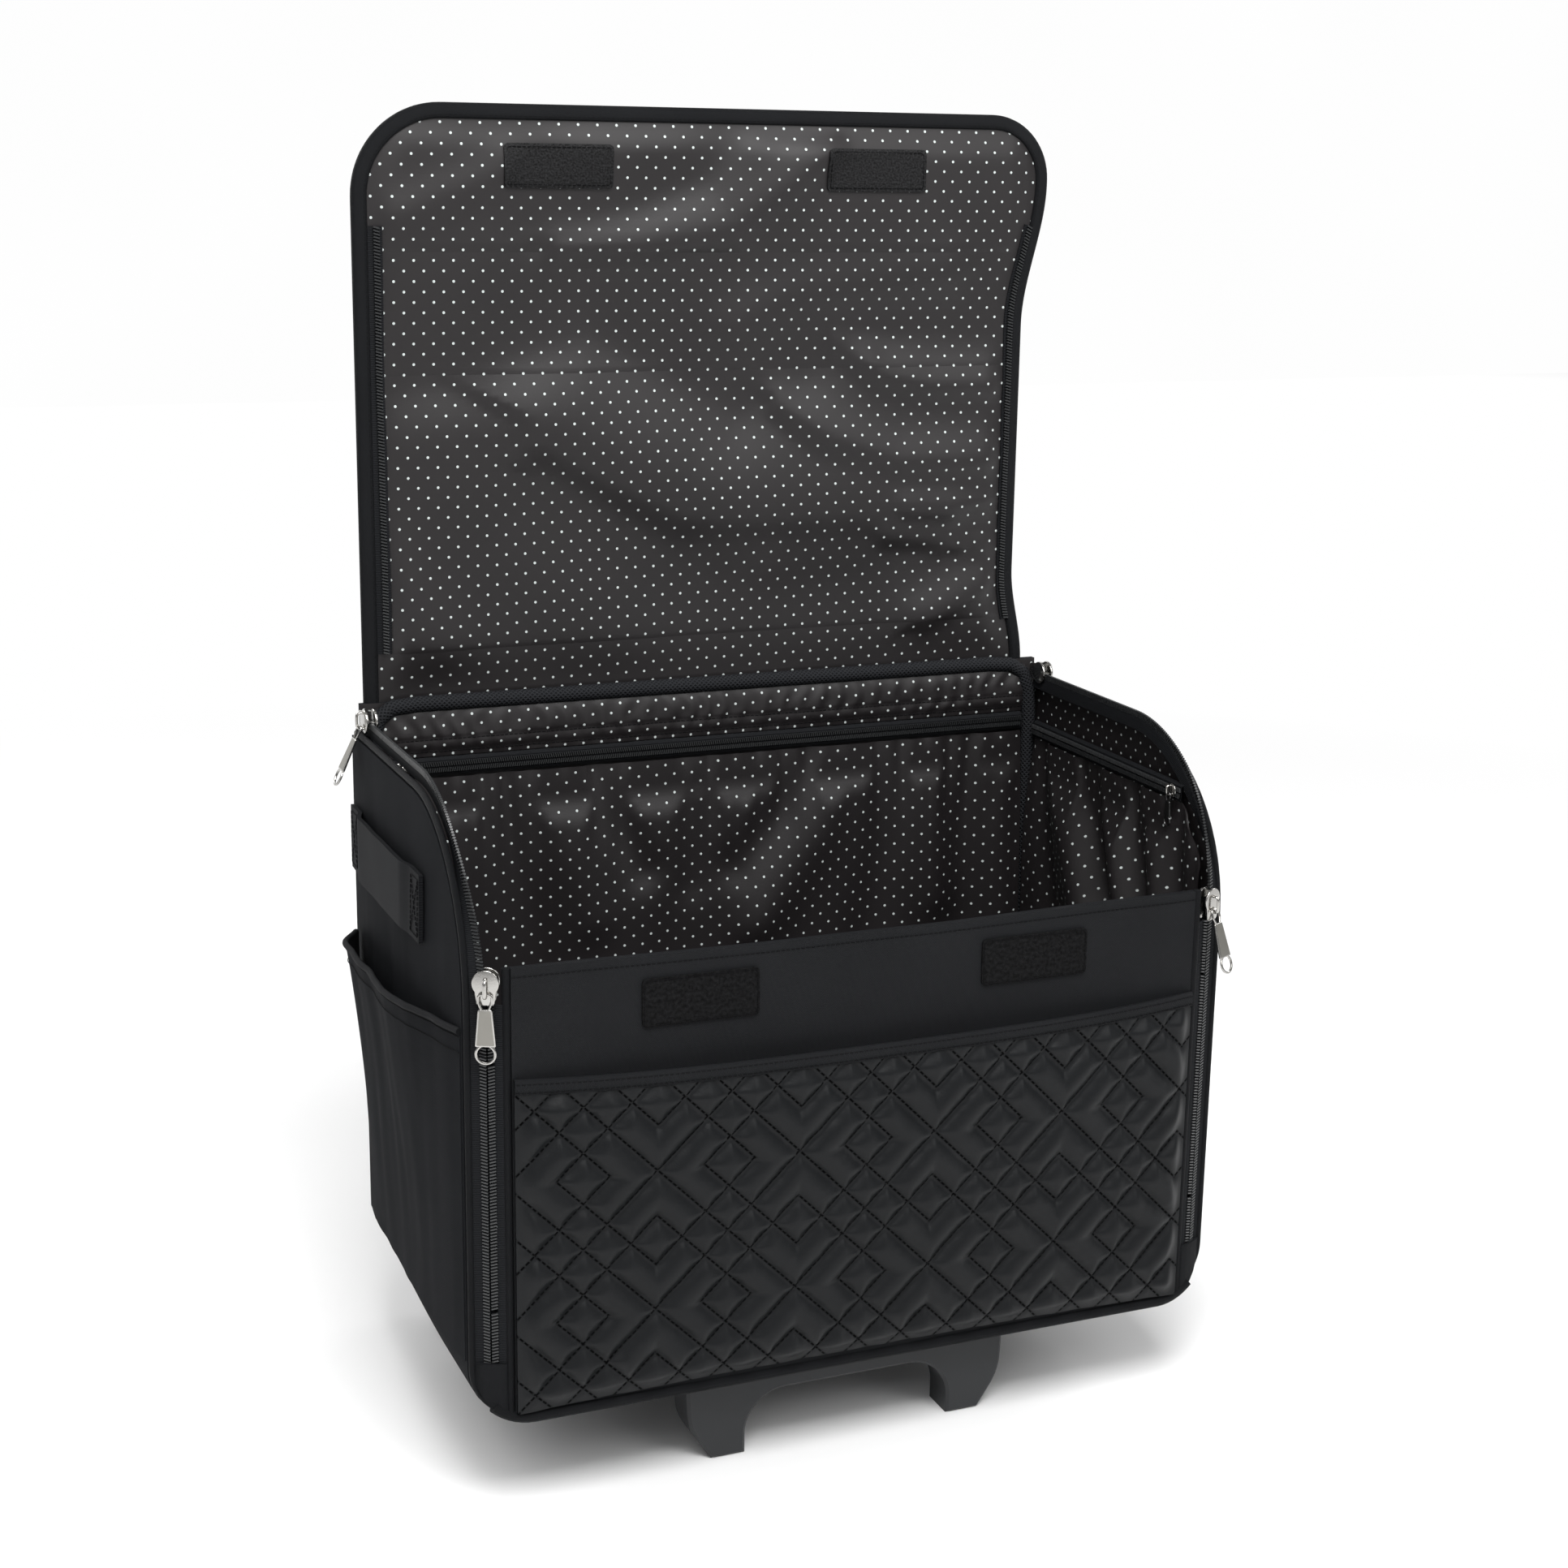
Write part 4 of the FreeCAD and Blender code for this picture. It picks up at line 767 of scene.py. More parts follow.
class Wardrobe:
    """Finishes of the case, each made once."""

    def __init__(self) -> None:
        """Make every finish."""
        black = (0.0105, 0.011, 0.0122, 1)
        self.shell = Cloth("shell_cloth", shade(black, 1.25), gloss=0.01).make()
        self.panel = Cloth("panel_cloth", shade(black, 1.0), rough=0.5, gloss=0.08).make()
        self.lid = Cloth("lid_cloth", shade(black, 1.25), gloss=0.01).make()
        self.trim = Cloth("trim_cloth", shade(black, 0.9), thread=0.0007).make()
        self.piping = Cloth("piping_cloth", shade(black, 0.8), rough=0.48, thread=0.0006).make()
        self.lining = DottedLining("dotted_lining", (0.0105, 0.0088, 0.0094, 1), (0.5, 0.54, 0.53, 1)).make()
        self.quilt = QUILT.make()
        self.rope = Braid("woven_rope", shade(black, 1.5), rib=0.0034, depth=0.0012).make()
        self.tape = Braid("zip_tape", shade(black, 1.15), rib=0.0012, slant=0.0, depth=0.0002).make()
        self.webbing = Braid("webbing", black, rib=0.0016, slant=1.6, depth=0.0003).make()
        self.loop = Pile("loop_pile", (0.0045, 0.0045, 0.0048, 1)).make()
        self.hook = Pile("hook_pile", (0.01, 0.01, 0.0105, 1), rough=0.5, depth=0.0007, grain=700.0).make()
        self.coil = Hard("coil_nylon", (0.02, 0.021, 0.022, 1), rough=0.28, grain=500.0, gloss=0.6).make()
        self.thread = Hard("thread", (0.0035, 0.0035, 0.004, 1), rough=0.7, gloss=0.08).make()
        self.nickel = Hard("nickel", (0.46, 0.45, 0.43, 1), rough=0.17, metal=1.0).make()
        self.pewter = Hard("pull_face", (0.3, 0.29, 0.265, 1), rough=0.42, metal=1.0, grain=1500.0).make()
        self.dark_metal = Hard("small_zip_metal", (0.12, 0.12, 0.12, 1), rough=0.3, metal=1.0).make()
        self.plastic = Hard("foot_plastic", (0.0225, 0.0236, 0.0252, 1), rough=0.46).make()
        self.grip = Hard("grip_plastic", (0.016, 0.0165, 0.0175, 1), rough=0.5).make()
        self.button = Hard("button_plastic", (0.05, 0.05, 0.052, 1), rough=0.35).make()
        self.tyre = Hard("tyre_rubber", (0.022, 0.022, 0.023, 1), rough=0.75, depth=0.0002).make()
        self.tube = Hard("tube_aluminium", (0.55, 0.56, 0.57, 1), rough=0.3, metal=1.0).make()
        self.steel = Hard("steel", (0.48, 0.48, 0.48, 1), rough=0.28, metal=1.0).make()


@dataclass
class Stitching:
    """Rows of sewn stitches."""

    wear: Wardrobe
    pitch: float = 0.0034
    length: float = 0.0024
    radius: float = 0.00032

    def pattern(self) -> Piece:
        """Return one stitch lying along X."""
        piece = primitive("cylinder", vertices=5, radius=self.radius, depth=self.length)
        bpy.ops.transform.rotate(value=QUARTER, orient_axis="Y", center_override=(0, 0, 0))
        return fixed(piece)

    def rows(self, name: str, paths: Sequence[Sequence[Vector]]) -> Piece:
        """Sew stitches along paths.

        Args:
            name: Name of the piece.
            paths: Paths on the cloth's face.

        Returns:
            All the stitches as one piece.
        """
        spots = []
        for path in paths:
            points = spaced(path, self.pitch)
            for first, second in zip(points, points[1:]):
                along = (second - first).normalized()
                helper = Vector((0, 0, 1)) if abs(along.z) < 0.9 else Vector((0, 1, 0))
                across = along.cross(helper).normalized()
                spots.append(basis((first + second) / 2, along, across, along.cross(across)))
        piece = copies(name, self.pattern(), spots)
        return paint(piece, self.wear.thread)


@dataclass
class Walls:
    """Side panels and base as one wrap, the back panel and the floor of the case."""

    wear: Wardrobe
    side_rows: int = 44
    arc_rows: int = 8
    floor_rows: int = 30
    shoulder_steps: int = 14
    flat_steps: int = 20
    bulge: float = 0.0035
    crease: float = 0.0027
    deepest: float = -0.6
    draw_in: float = 0.006
    draw_top: float = 0.3
    rear_round: float = 0.04
    back_slack: float = 0.0012
    floor_slack: float = 0.0008
    seed: float = 3.1

    def depth_stations(self) -> list[float]:
        """Return places along the depth, closer together round the shoulder."""
        rear = CASE.side_front + CASE.shoulder
        turns = [QUARTER * step / self.shoulder_steps for step in range(self.shoulder_steps + 1)]
        arc = [rear - CASE.shoulder * math.cos(turn) for turn in turns]
        flat = [rear + (CASE.back - rear) * step / self.flat_steps for step in range(1, self.flat_steps + 1)]
        return (arc + flat)[::-1]

    def swell(self, y: float, z: float, sign: int) -> float:
        """Return how far a side wall stands out at a place.

        Args:
            y: Place along the depth.
            z: Height.
            sign: -1 on the left, 1 on the right.

        Returns:
            Distance outward in metres.
        """
        seed = self.seed + sign
        low = CASE.corner_top
        up = min(max((z - low) / max(CASE.side_edge(y) - low, 0.01), 0), 1)
        along = min(max((y - CASE.side_front) / (CASE.back - CASE.side_front), 0), 1)
        pillow = math.sin(math.pi * up) ** 0.7 * math.sin(math.pi * along) ** 0.6
        fold = max(ripple(y * 26, z * 5, seed) + 0.5 * ripple(y * 55, z * 11, seed + 4), self.deepest)
        drawn = smooth(self.draw_top - z, 0.0, 0.2) * smooth(along, 0.2, 1.0)
        return pillow * (self.bulge + self.crease * fold) - self.draw_in * drawn

    def build(self) -> None:
        """Make the walls and seat them on the case."""
        stations = self.depth_stations()
        total = 2 * (self.side_rows + self.arc_rows) + self.floor_rows
        centre = CASE.half - CASE.corner
        level = CASE.corner_top

        def place(u: float, v: float) -> Vector:
            """Return the wrap's point, from the left edge under the base to the right edge."""
            step = round(u * total)
            y = stations[round(v * (len(stations) - 1))]
            sign = -1 if step <= total // 2 else 1
            step = step if sign < 0 else total - step
            lift = 0.0
            short = y - (CASE.back - self.rear_round)
            if short > 0:
                lift = self.rear_round - math.sqrt(max(self.rear_round**2 - short**2, 0))
            if step <= self.side_rows:
                z = CASE.side_edge(y)
                z += (level - z) * step / self.side_rows
                return Vector((sign * (CASE.half + self.swell(y, z, sign)), y, z))
            step -= self.side_rows
            if step <= self.arc_rows:
                angle = QUARTER * step / self.arc_rows
                out = (CASE.corner + self.swell(y, level, sign)) * math.cos(angle)
                drop = (CASE.corner - lift) * math.sin(angle)
                return Vector((sign * (centre + out), y, level - drop))
            step -= self.arc_rows
            x = centre * (1 - 2 * step / self.floor_rows)
            return Vector((sign * x, y, CASE.base + lift))

        def chart(spot: Vector, _u: float, _v: float) -> tuple[float, float]:
            """Return the texture place, unrolled round the bottom corners."""
            reach = abs(spot.x)
            if spot.z >= level - 1e-6:
                return spot.y, spot.z
            if reach > centre:
                return spot.y, level - CASE.corner * math.atan2(level - spot.z, reach - centre)
            return spot.y, level - CASE.corner * QUARTER - (centre - reach)

        wrap = sheet("walls_and_base", total, len(stations) - 1, place, chart)
        paint(wrap, self.wear.shell, self.wear.lining)
        soften(thicken(wrap, CASE.wall, lined=True))
        settle(wrap, "case", "shell_fabric", "left_side_panel", "right_side_panel", "base_panel")
        self.build_back()
        self.build_floor()

    def build_back(self) -> None:
        """Make the back panel with its round lower corners."""
        inner = CASE.half - CASE.wall
        radius = CASE.corner - CASE.wall
        low, high = CASE.base + CASE.wall, CASE.back_top

        def place(u: float, v: float) -> Vector:
            """Return the back's point for two shares."""
            z = low + (high - low) * v
            drop = max(low + radius - z, 0.0)
            half = inner - radius + math.sqrt(max(radius**2 - drop**2, 0.0))
            x = half * (1 - 2 * u)
            fade = smooth(z, low, low + 0.05) * smooth(high - z, 0, 0.04)
            y = CASE.back - self.back_slack * fade * (1 + ripple(x * 9, z * 7, 8.2))
            lean = max(low + 0.03 - z, 0.0)
            return Vector((x, y - lean * lean * 10, z))

        back = sheet("back_wall", 64, 56, place, front_chart)
        paint(back, self.wear.shell, self.wear.lining)
        soften(thicken(back, CASE.wall, lined=True))
        settle(back, "case", "shell_fabric", "back_panel")

    def build_floor(self) -> None:
        """Make the lined floor over the base board."""
        low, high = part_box("base_board")

        def place(u: float, v: float) -> Vector:
            """Return the floor's point for two shares."""
            x = low.x + (high.x - low.x) * u
            y = low.y + (high.y - low.y) * v
            return Vector((x, y, high.z + self.floor_slack * ripple(x * 14, y * 14, 2.0)))

        floor = sheet("lined_floor", 40, 24, place, lambda spot, _u, _v: (spot.x, spot.y))
        paint(floor, self.wear.lining)
        soften(thicken(floor, high.z - low.z))
        settle(floor, "case", "base_board", "base_board")


@dataclass
class FrontPanel:
    """Front panel that folds down, with its quilted pocket and loop patches."""

    wear: Wardrobe
    sew: Stitching
    bow: float = 0.0022
    pocket_half: float = 0.2364
    pocket_top: float = spans("front_pocket")[2][1]
    puff: float = 0.0054
    pad: float = 0.0115
    pocket_cloth: float = 0.0022
    binding: float = 0.009
    binding_flat: tuple[float, float] = (0.466, 0.024)
    hem: float = 0.981
    patch: tuple[float, float] = (0.077, 0.031)
    patch_hem: float = 0.00125
    patch_x: float = 0.116
    patch_z: float = 0.3295

    def panel_y(self, x: float, z: float) -> float:
        """Return the place of the panel's face along the depth."""
        across = 1 - (x / CASE.panel_half) ** 2
        up = math.sin(math.pi * min(max((z - CASE.panel_low) / 0.3, 0), 1))
        fold = ripple(x * 9, z * 13, 5.5)
        return CASE.face - self.bow * across * up - 0.0009 * across * fold

    def pocket_point(self, u: float, v: float) -> Vector:
        """Return a place on the pocket's face.

        Args:
            u: Share across.
            v: Share up.

        Returns:
            Point in the row frame.
        """
        side = 2 * u - 1
        belly = 1 - abs(side) ** 3
        x = side * self.pocket_half
        tall = self.pocket_top - CASE.panel_low
        low = 0.0035 + belly * 0.003 + 0.0007 * ripple(x * 70, 0.5, 2.9)
        z = CASE.panel_low + tall * v + low * (1 - v) ** 3
        swell = 0.0035 * (1 - math.exp(-v / 0.05)) + 0.0085 * v**1.3
        reach = 0.0032 + belly * swell
        gap = QUILT.seam(x, z)
        fade = smooth(1 - abs(side), 0.0, 0.05) * smooth(v, 0.0, 0.06) * smooth(1 - v, 0.0, 0.09)
        pad = 1 - (1 - min(gap / self.pad, 1)) ** 2
        pucker = 0.0005 * ripple(x * 190, z * 190, 1.7) * math.exp(-gap / 0.006)
        slack = 0.0006 * ripple(x * 60, z * 60, 6.3)
        reach += fade * (self.puff * pad + pucker + slack)
        z -= belly * 0.003 * v
        return Vector((x, CASE.face - reach, z))

    def build(self) -> None:
        """Make the panel and all that is sewn to it."""
        def place(u: float, v: float) -> Vector:
            """Return the panel's point for two shares."""
            x = CASE.panel_half * (2 * u - 1)
            z = CASE.panel_low + (CASE.panel_top - CASE.panel_low) * v
            sag = 0.0025 * math.sin(math.pi * u) * smooth(v, 0.8, 1.0)
            wave = 0.0006 * ripple(x * 16, 1.0, 2.2) * smooth(v, 0.9, 1.0)
            return Vector((x, self.panel_y(x, z), z - sag + wave))

        panel = sheet("front_wall", 96, 60, place, front_chart)
        paint(panel, self.wear.panel, self.wear.lining)
        soften(thicken(panel, CASE.wall, lined=True))
        settle(panel, "front_panel", "shell_fabric", "front_panel")
        self.build_pocket()
        self.build_binding()
        self.build_patches()
        hem = [place(step / 120, self.hem) + Vector((0, -0.0002, 0)) for step in range(121)]
        settle(self.sew.rows("front_wall_hem_stitches", [hem]), "front_panel", "shell_fabric")

    def build_pocket(self) -> None:
        """Make the quilted pocket."""
        pocket = sheet("quilted_pocket", 268, 128, self.pocket_point, front_chart)
        paint(pocket, self.wear.quilt, self.wear.trim)
        soften(thicken(pocket, self.pocket_cloth, lined=True), 60)
        settle(pocket, "front_panel", "quilted_fabric", "front_pocket")

    def build_binding(self) -> None:
        """Make the bound mouth of the pocket with its two rows of stitches."""
        section = (
            (0.0038, -self.binding), (0.0038, -0.0014), (0.003, 0.0002), (0.0012, 0.0007), (-0.0008, 0.0004),
            (-0.0017, -0.0012), (-0.0016, 0.0006 - self.binding), (-0.001, -self.binding),
        )
        last = len(section) - 1
        strip = sheet("pocket_mouth_binding", 120, last,
                      lambda u, v: self.pocket_point(u, 1.0) + Vector((0, *section[round(v * last)])),
                      flat_chart(*self.binding_flat))
        paint(strip, self.wear.panel)
        on_mesh(strip, bpy.ops.mesh.normals_make_consistent, inside=False)
        soften(strip, 75)
        settle(strip, "front_panel", "quilted_fabric")
        rows = []
        for drop in (0.0018, self.binding - 0.0016):
            rows.append([self.pocket_point(step / 150, 1.0) + Vector((0, -0.0018, -drop)) for step in range(151)])
        settle(self.sew.rows("pocket_mouth_stitches", rows), "front_panel", "quilted_fabric")

    def build_patches(self) -> None:
        """Make the two loop patches with their stitched borders."""
        spot = Vector((self.patch_x, 0, self.patch_z))
        patches, paths = sewn_patches("loop_patches", spot, self.patch, self.patch_hem, self.panel_y)
        paint(patches, self.wear.loop)
        settle(patches, "front_panel", "hook_and_loop", "front_loop_patches")
        settle(self.sew.rows("loop_patch_stitches", paths), "front_panel", "hook_and_loop")


def sewn_patches(name: str, right: Vector, size: tuple[float, float], hem: float,
                 ground: Ground) -> tuple[Piece, list[list[Vector]]]:
    """Make a patch with small round corners on each side, and the paths of their border stitches.

    Args:
        name: Name of the patches as one piece.
        right: Middle of the right patch.
        size: Width and height.
        hem: Distance of the stitches from the edge.
        ground: Face of the cloth under them along the depth.

    Returns:
        The patches and one path for each.
    """
    thick, ahead, corner = 0.0015, 0.0017, 0.003
    around = ((-1, -1), (1, -1), (1, 1), (-1, 1), (-1, -1))
    parts, paths = [], []
    for side in Side:
        middle = side.value * right.x

        def place(u: float, v: float) -> Vector:
            """Return a patch's point, drawn in at its corners."""
            spots = [(share - 0.5) * length for share, length in zip((u, v), size)]
            over = [max(abs(spot) - (length / 2 - corner), 0) for spot, length in zip(spots, size)]
            if min(over) > 0:
                fit = max(over) / math.hypot(*over)
                spots = [math.copysign(abs(spot) - part * (1 - fit), spot) for spot, part in zip(spots, over)]
            x, z = middle + spots[0], right.z + spots[1]
            return Vector((x, ground(x, z) - thick, z))

        parts.append(soften(thicken(sheet("patch", 48, 24, place, front_chart), thick)))
        border = [(middle + a * (size[0] / 2 - hem), right.z + b * (size[1] / 2 - hem)) for a, b in around]
        paths.append([Vector((x, ground(x, z) - ahead, z)) for x, z in border])
    return joined(name, parts), paths


@dataclass(frozen=True)
class Fold:
    """Soft fold in cloth along a line of places from left to right, in metres."""

    line: tuple[tuple[float, float], ...]
    rise: float
    over: float
    under: float

    def height(self, x: float, z: float) -> float:
        """Return how far the fold lifts the cloth.

        Args:
            x: Place across.
            z: Place up.

        Returns:
            Height of the fold, below zero in a valley.
        """
        near, side = 1.0, 1.0
        for (x0, z0), (x1, z1) in zip(self.line, self.line[1:]):
            dx, dz = x1 - x0, z1 - z0
            share = min(max(((x - x0) * dx + (z - z0) * dz) / (dx * dx + dz * dz), 0.0), 1.0)
            right, up = x - x0 - share * dx, z - z0 - share * dz
            gap = math.hypot(right, up)
            if gap < near:
                near, side = gap, dx * up - dz * right
        return self.rise * bump(near, 0.0, self.over if side > 0 else self.under)


LID_FOLDS = (
    Fold(((-0.244, 0.678), (-0.155, 0.698), (-0.097, 0.716), (-0.044, 0.693), (0.016, 0.661), (0.059, 0.683),
          (0.109, 0.716), (0.213, 0.715)), -0.0075, 0.048, 0.03),
    Fold(((-0.114, 0.768), (-0.051, 0.77), (0.009, 0.781), (0.057, 0.817), (0.081, 0.839)), 0.006, 0.022, 0.011),
    Fold(((-0.126, 0.778), (-0.068, 0.794), (-0.015, 0.816), (0.002, 0.838)), -0.004, 0.022, 0.016),
    Fold(((0.01, 0.712), (0.058, 0.734), (0.108, 0.742), (0.172, 0.75)), 0.005, 0.022, 0.016),
    Fold(((-0.132, 0.648), (-0.08, 0.619), (-0.026, 0.594), (0.023, 0.589), (0.099, 0.589), (0.178, 0.586)), 0.008,
         0.045, 0.02),
    Fold(((-0.127, 0.609), (-0.074, 0.573), (-0.013, 0.536), (0.037, 0.522), (0.114, 0.529), (0.153, 0.54)), -0.006,
         0.026, 0.04),
    Fold(((0.09, 0.702), (0.123, 0.682), (0.162, 0.672), (0.225, 0.671)), 0.005, 0.016, 0.008),
    Fold(((0.047, 0.661), (0.085, 0.637), (0.137, 0.62), (0.22, 0.618)), 0.0055, 0.02, 0.009),
    Fold(((0.145, 0.585), (0.228, 0.579)), 0.0032, 0.012, 0.006),
    Fold(((0.132, 0.564), (0.229, 0.552)), 0.0032, 0.012, 0.007),
    Fold(((0.164, 0.5), (0.237, 0.538)), 0.0055, 0.02, 0.009),
    Fold(((-0.247, 0.559), (-0.209, 0.501)), 0.005, 0.03, 0.026),
    Fold(((-0.23, 0.788), (-0.164, 0.814), (-0.153, 0.82)), 0.0032, 0.015, 0.012),
)


@dataclass(frozen=True)
class Stretch:
    """Length of the lid that spans one joint."""

    word: str
    low: float
    high: float
    first: str
    second: str
    bend: tuple[float, float]
    nodes: tuple[str, ...] = ()
    zips: tuple[str, ...] = ()


STRETCHES = (
    Stretch("hem", 0.462, 0.5, "case", "lid_rear", (0.47, 0.485)),
    Stretch("lower", 0.5, 0.68639, "lid_rear", "lid_arc_a", (0.61219, 0.68019), ("lid_rear",), ("lid_rear_zips",)),
    Stretch("middle", 0.68639, 0.76677, "lid_arc_a", "lid_arc_b", (0.69258, 0.76058), ("lid_arc_a",),
            ("lid_arc_a_zips",)),
    Stretch("upper", 0.76677, 0.8615, "lid_arc_b", "lid_front", (0.77296, 0.84096), ("lid_arc_b", "lid_front"),
            ("lid_arc_b_zips",)),
)


@dataclass
class Lid:
    """Padded lid that stands open, in stretches that each span one joint of the CAD lid."""

    wear: Wardrobe
    sew: Stitching
    face: float = 0.1336
    low: float = STRETCHES[0].low
    top: float = STRETCHES[-1].high
    half: float = 0.2545
    left_corner: float = 0.06
    right_corner: float = 0.044
    bow: float = 0.017
    bow_top: float = 0.815
    fold_share: float = 0.8
    padding: float = 0.005
    deepest: float = -0.0022
    cloth: float = 0.005
    back: float = 0.0043
    sunk: float = 0.0012
    lap: float = 0.0015
    tuck: float = 0.0006
    columns: int = 124
    row: float = 0.0042
    edge: float = 0.0092
    edge_step: float = 0.004
    edge_wide: float = 0.03
    seam: float = 0.0022
    tape: tuple[float, float] = (0.0048, 0.0092)
    tooth_inset: float = 0.0042
    tooth_rise: float = 0.0022
    zip_top: float = 0.7835
    patch: tuple[float, float] = (0.076, 0.029)
    patch_hem: float = 0.00225
    patch_x: float = 0.116
    patch_z: float = 0.823

    def side_x(self, sign: int, z: float) -> float:
        """Return the lid's edge on one side at a height.

        Args:
            sign: -1 on the left, 1 on the right.
            z: Height.

        Returns:
            Place along X.
        """
        bow = self.bow * smooth(self.bow_top - z, 0.0, 0.1) * (0.4 + 0.6 * smooth(z, 0.465, 0.535))
        half = self.half - (bow if sign > 0 else 0.0)
        corner = self.right_corner if sign > 0 else self.left_corner
        rise = max(z - (self.top - corner), 0.0)
        return sign * (half - corner + math.sqrt(max(corner**2 - rise**2, 0.0)))

    def face_y(self, x: float, z: float) -> float:
        """Return the place of the lining's face along the depth."""
        rim = min(x - self.side_x(-1, z), self.side_x(1, z) - x, self.top - z)
        fade = smooth(rim, 0.006, 0.03) * smooth(z - self.low, 0.0, 0.05)
        broad = ripple((x + 1.6 * z) * 4.6, (x - z) * 2.6, 1.3)
        fine = ripple((x + 0.6 * z) * 15, (z - 0.5 * x) * 8, 7.7)
        folds = sum(fold.height(x, z) for fold in LID_FOLDS) if fade > 0 else 0.0
        lift = self.fold_share * folds + 0.0024 * broad + 0.0013 * fine + self.padding
        return self.face - fade * max(lift, self.deepest)

    def outline(self, low: float, high: float, sign: int) -> list[Vector]:
        """Return one side's edge between two heights, upward, without depth."""
        steps = max(int((high - low) / self.edge_step), 2)
        heights = [low + (high - low) * step / steps for step in range(steps + 1)]
        return [Vector((self.side_x(sign, z), 0, z)) for z in heights]

    def outlines(self, low: float, high: float) -> list[list[Vector]]:
        """Return the right edge upward and the left edge downward between two heights."""
        return [self.outline(low, high, 1), self.outline(low, high, -1)[::-1]]

    def corner_path(self, low: float) -> list[Vector]:
        """Return the edge from the right side up over the top and down the left side."""
        path = []
        for sign, corner in ((1, self.right_corner), (-1, self.left_corner)):
            level, middle = self.top - corner, sign * (self.half - corner)
            part = self.outline(low, level, sign)
            part += quarter_arc((middle, 0, level), (sign * corner, 0, 0), (0, 0, corner), 16)[1:]
            path.extend(part if sign > 0 else part[::-1])
        return spaced(path, self.edge_step)

    def inward(self, path: list[Vector], index: int) -> Vector:
        """Return the way in from the lid's edge at one point of its path."""
        along = path[min(index + 1, len(path) - 1)] - path[max(index - 1, 0)]
        along.normalize()
        return Vector((-along.z, 0, along.x))

    def rim_strip(self, name: str, path: list[Vector], section: Section) -> Piece:
        """Make a strip along the lid's edge.

        Args:
            name: Name of the piece.
            path: Edge, counter-clockwise as seen from the front.
            section: Distances in from the edge and behind the face.

        Returns:
            The strip.
        """
        rows = len(path) - 1

        def at(share: float, inset: float, behind: float) -> Vector:
            """Return the strip's point at a share of the path."""
            index = round(share * rows)
            inward = self.inward(path, index)
            spot = path[index] + inward * inset
            held = path[index] + inward * max(inset, 0.0)
            return Vector((spot.x, self.face_y(held.x, held.z) + behind, spot.z))

        length = sum((b - a).length for a, b in zip(path, path[1:]))
        return swept(name, section, rows, at, flat_chart(self.edge_wide, length))

    def rim_path(self, path: list[Vector], inset: float, ahead: float) -> list[Vector]:
        """Return a path on the lid's face at a distance in from the edge."""
        spots = [spot + self.inward(path, index) * inset for index, spot in enumerate(path)]
        return [Vector((spot.x, self.face_y(spot.x, spot.z) - ahead, spot.z)) for spot in spots]

    def build(self) -> None:
        """Make the lid's stretches with their binding, zips and patches."""
        for part in STRETCHES:
            start, end = (Vector((0, self.face, level)) for level in part.bend)
            pieces = [self.build_face(part)]
            if part.nodes:
                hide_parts(*part.nodes)
            topmost = part is STRETCHES[-1]
            paths = [self.corner_path(part.low)] if topmost else self.outlines(part.low, part.high)
            pieces += self.build_rim(part.word, paths)
            if part.zips:
                edges = self.outlines(part.low, min(part.high, self.zip_top))
                pieces += self.build_zip(part.word, edges, part.zips)
            for piece in pieces:
                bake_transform(piece)
                LOG.info("%s on %s and %s", piece.name, part.first, part.second)
        self.build_patches()

    def build_face(self, part: Stretch) -> Piece:
        """Make the padded cloth of one stretch, lined on the inside."""
        low, tall = part.low, part.high - part.low
        rows = max(int(tall / self.row), 12)

        def place(u: float, v: float) -> Vector:
            """Return the lining's point, with its first row tucked under the stretch below."""
            row = round(v * rows)
            share = max(row - 1, 0) / (rows - 1)
            share = math.sin(QUARTER * share) if part is STRETCHES[-1] else share
            under, behind = (self.lap, self.tuck) if row == 0 else (0.0, 0.0)
            z = low + tall * share - under
            left, right = self.side_x(-1, z), self.side_x(1, z)
            x = left + (right - left) * u
            return Vector((x, self.face_y(x, z) + behind, z))

        face = sheet("lid_" + part.word, self.columns, rows, place, front_chart)
        paint(face, self.wear.lining, self.wear.lid)
        count = len(face.data.vertices)
        thicken(face, self.cloth, lined=True)
        for point in face.data.vertices[count:]:
            sunk = self.sunk if point.co.z < low - self.lap / 2 else 0.0
            point.co.y = self.face + self.back - sunk + 0.0003 * ripple(point.co.x * 9, point.co.z * 9, 6.1)
        return soften(face, 60)

    def build_rim(self, word: str, paths: list[list[Vector]]) -> list[Piece]:
        """Make the binding of one stretch and its stitches."""
        section = (
            (self.edge, 0.0), (self.edge - 0.0003, -0.0011), (0.0075, -0.0016), (0.001, -0.0013), (-0.0007, 0.0004),
            (-0.0011, 0.0025), (-0.0007, 0.0048), (0.001, 0.0063), (self.edge, 0.0062), (self.edge, 0.005),
        )
        binding = joined("lid_binding_" + word, [self.rim_strip("lid_strip", path, section) for path in paths])
        paint(soften(binding, 70), self.wear.trim)
        rows = [self.rim_path(path, self.edge - self.seam, 0.0014) for path in paths]
        stitches = self.sew.rows("lid_binding_stitches_" + word, rows)
        return [binding, stitches]

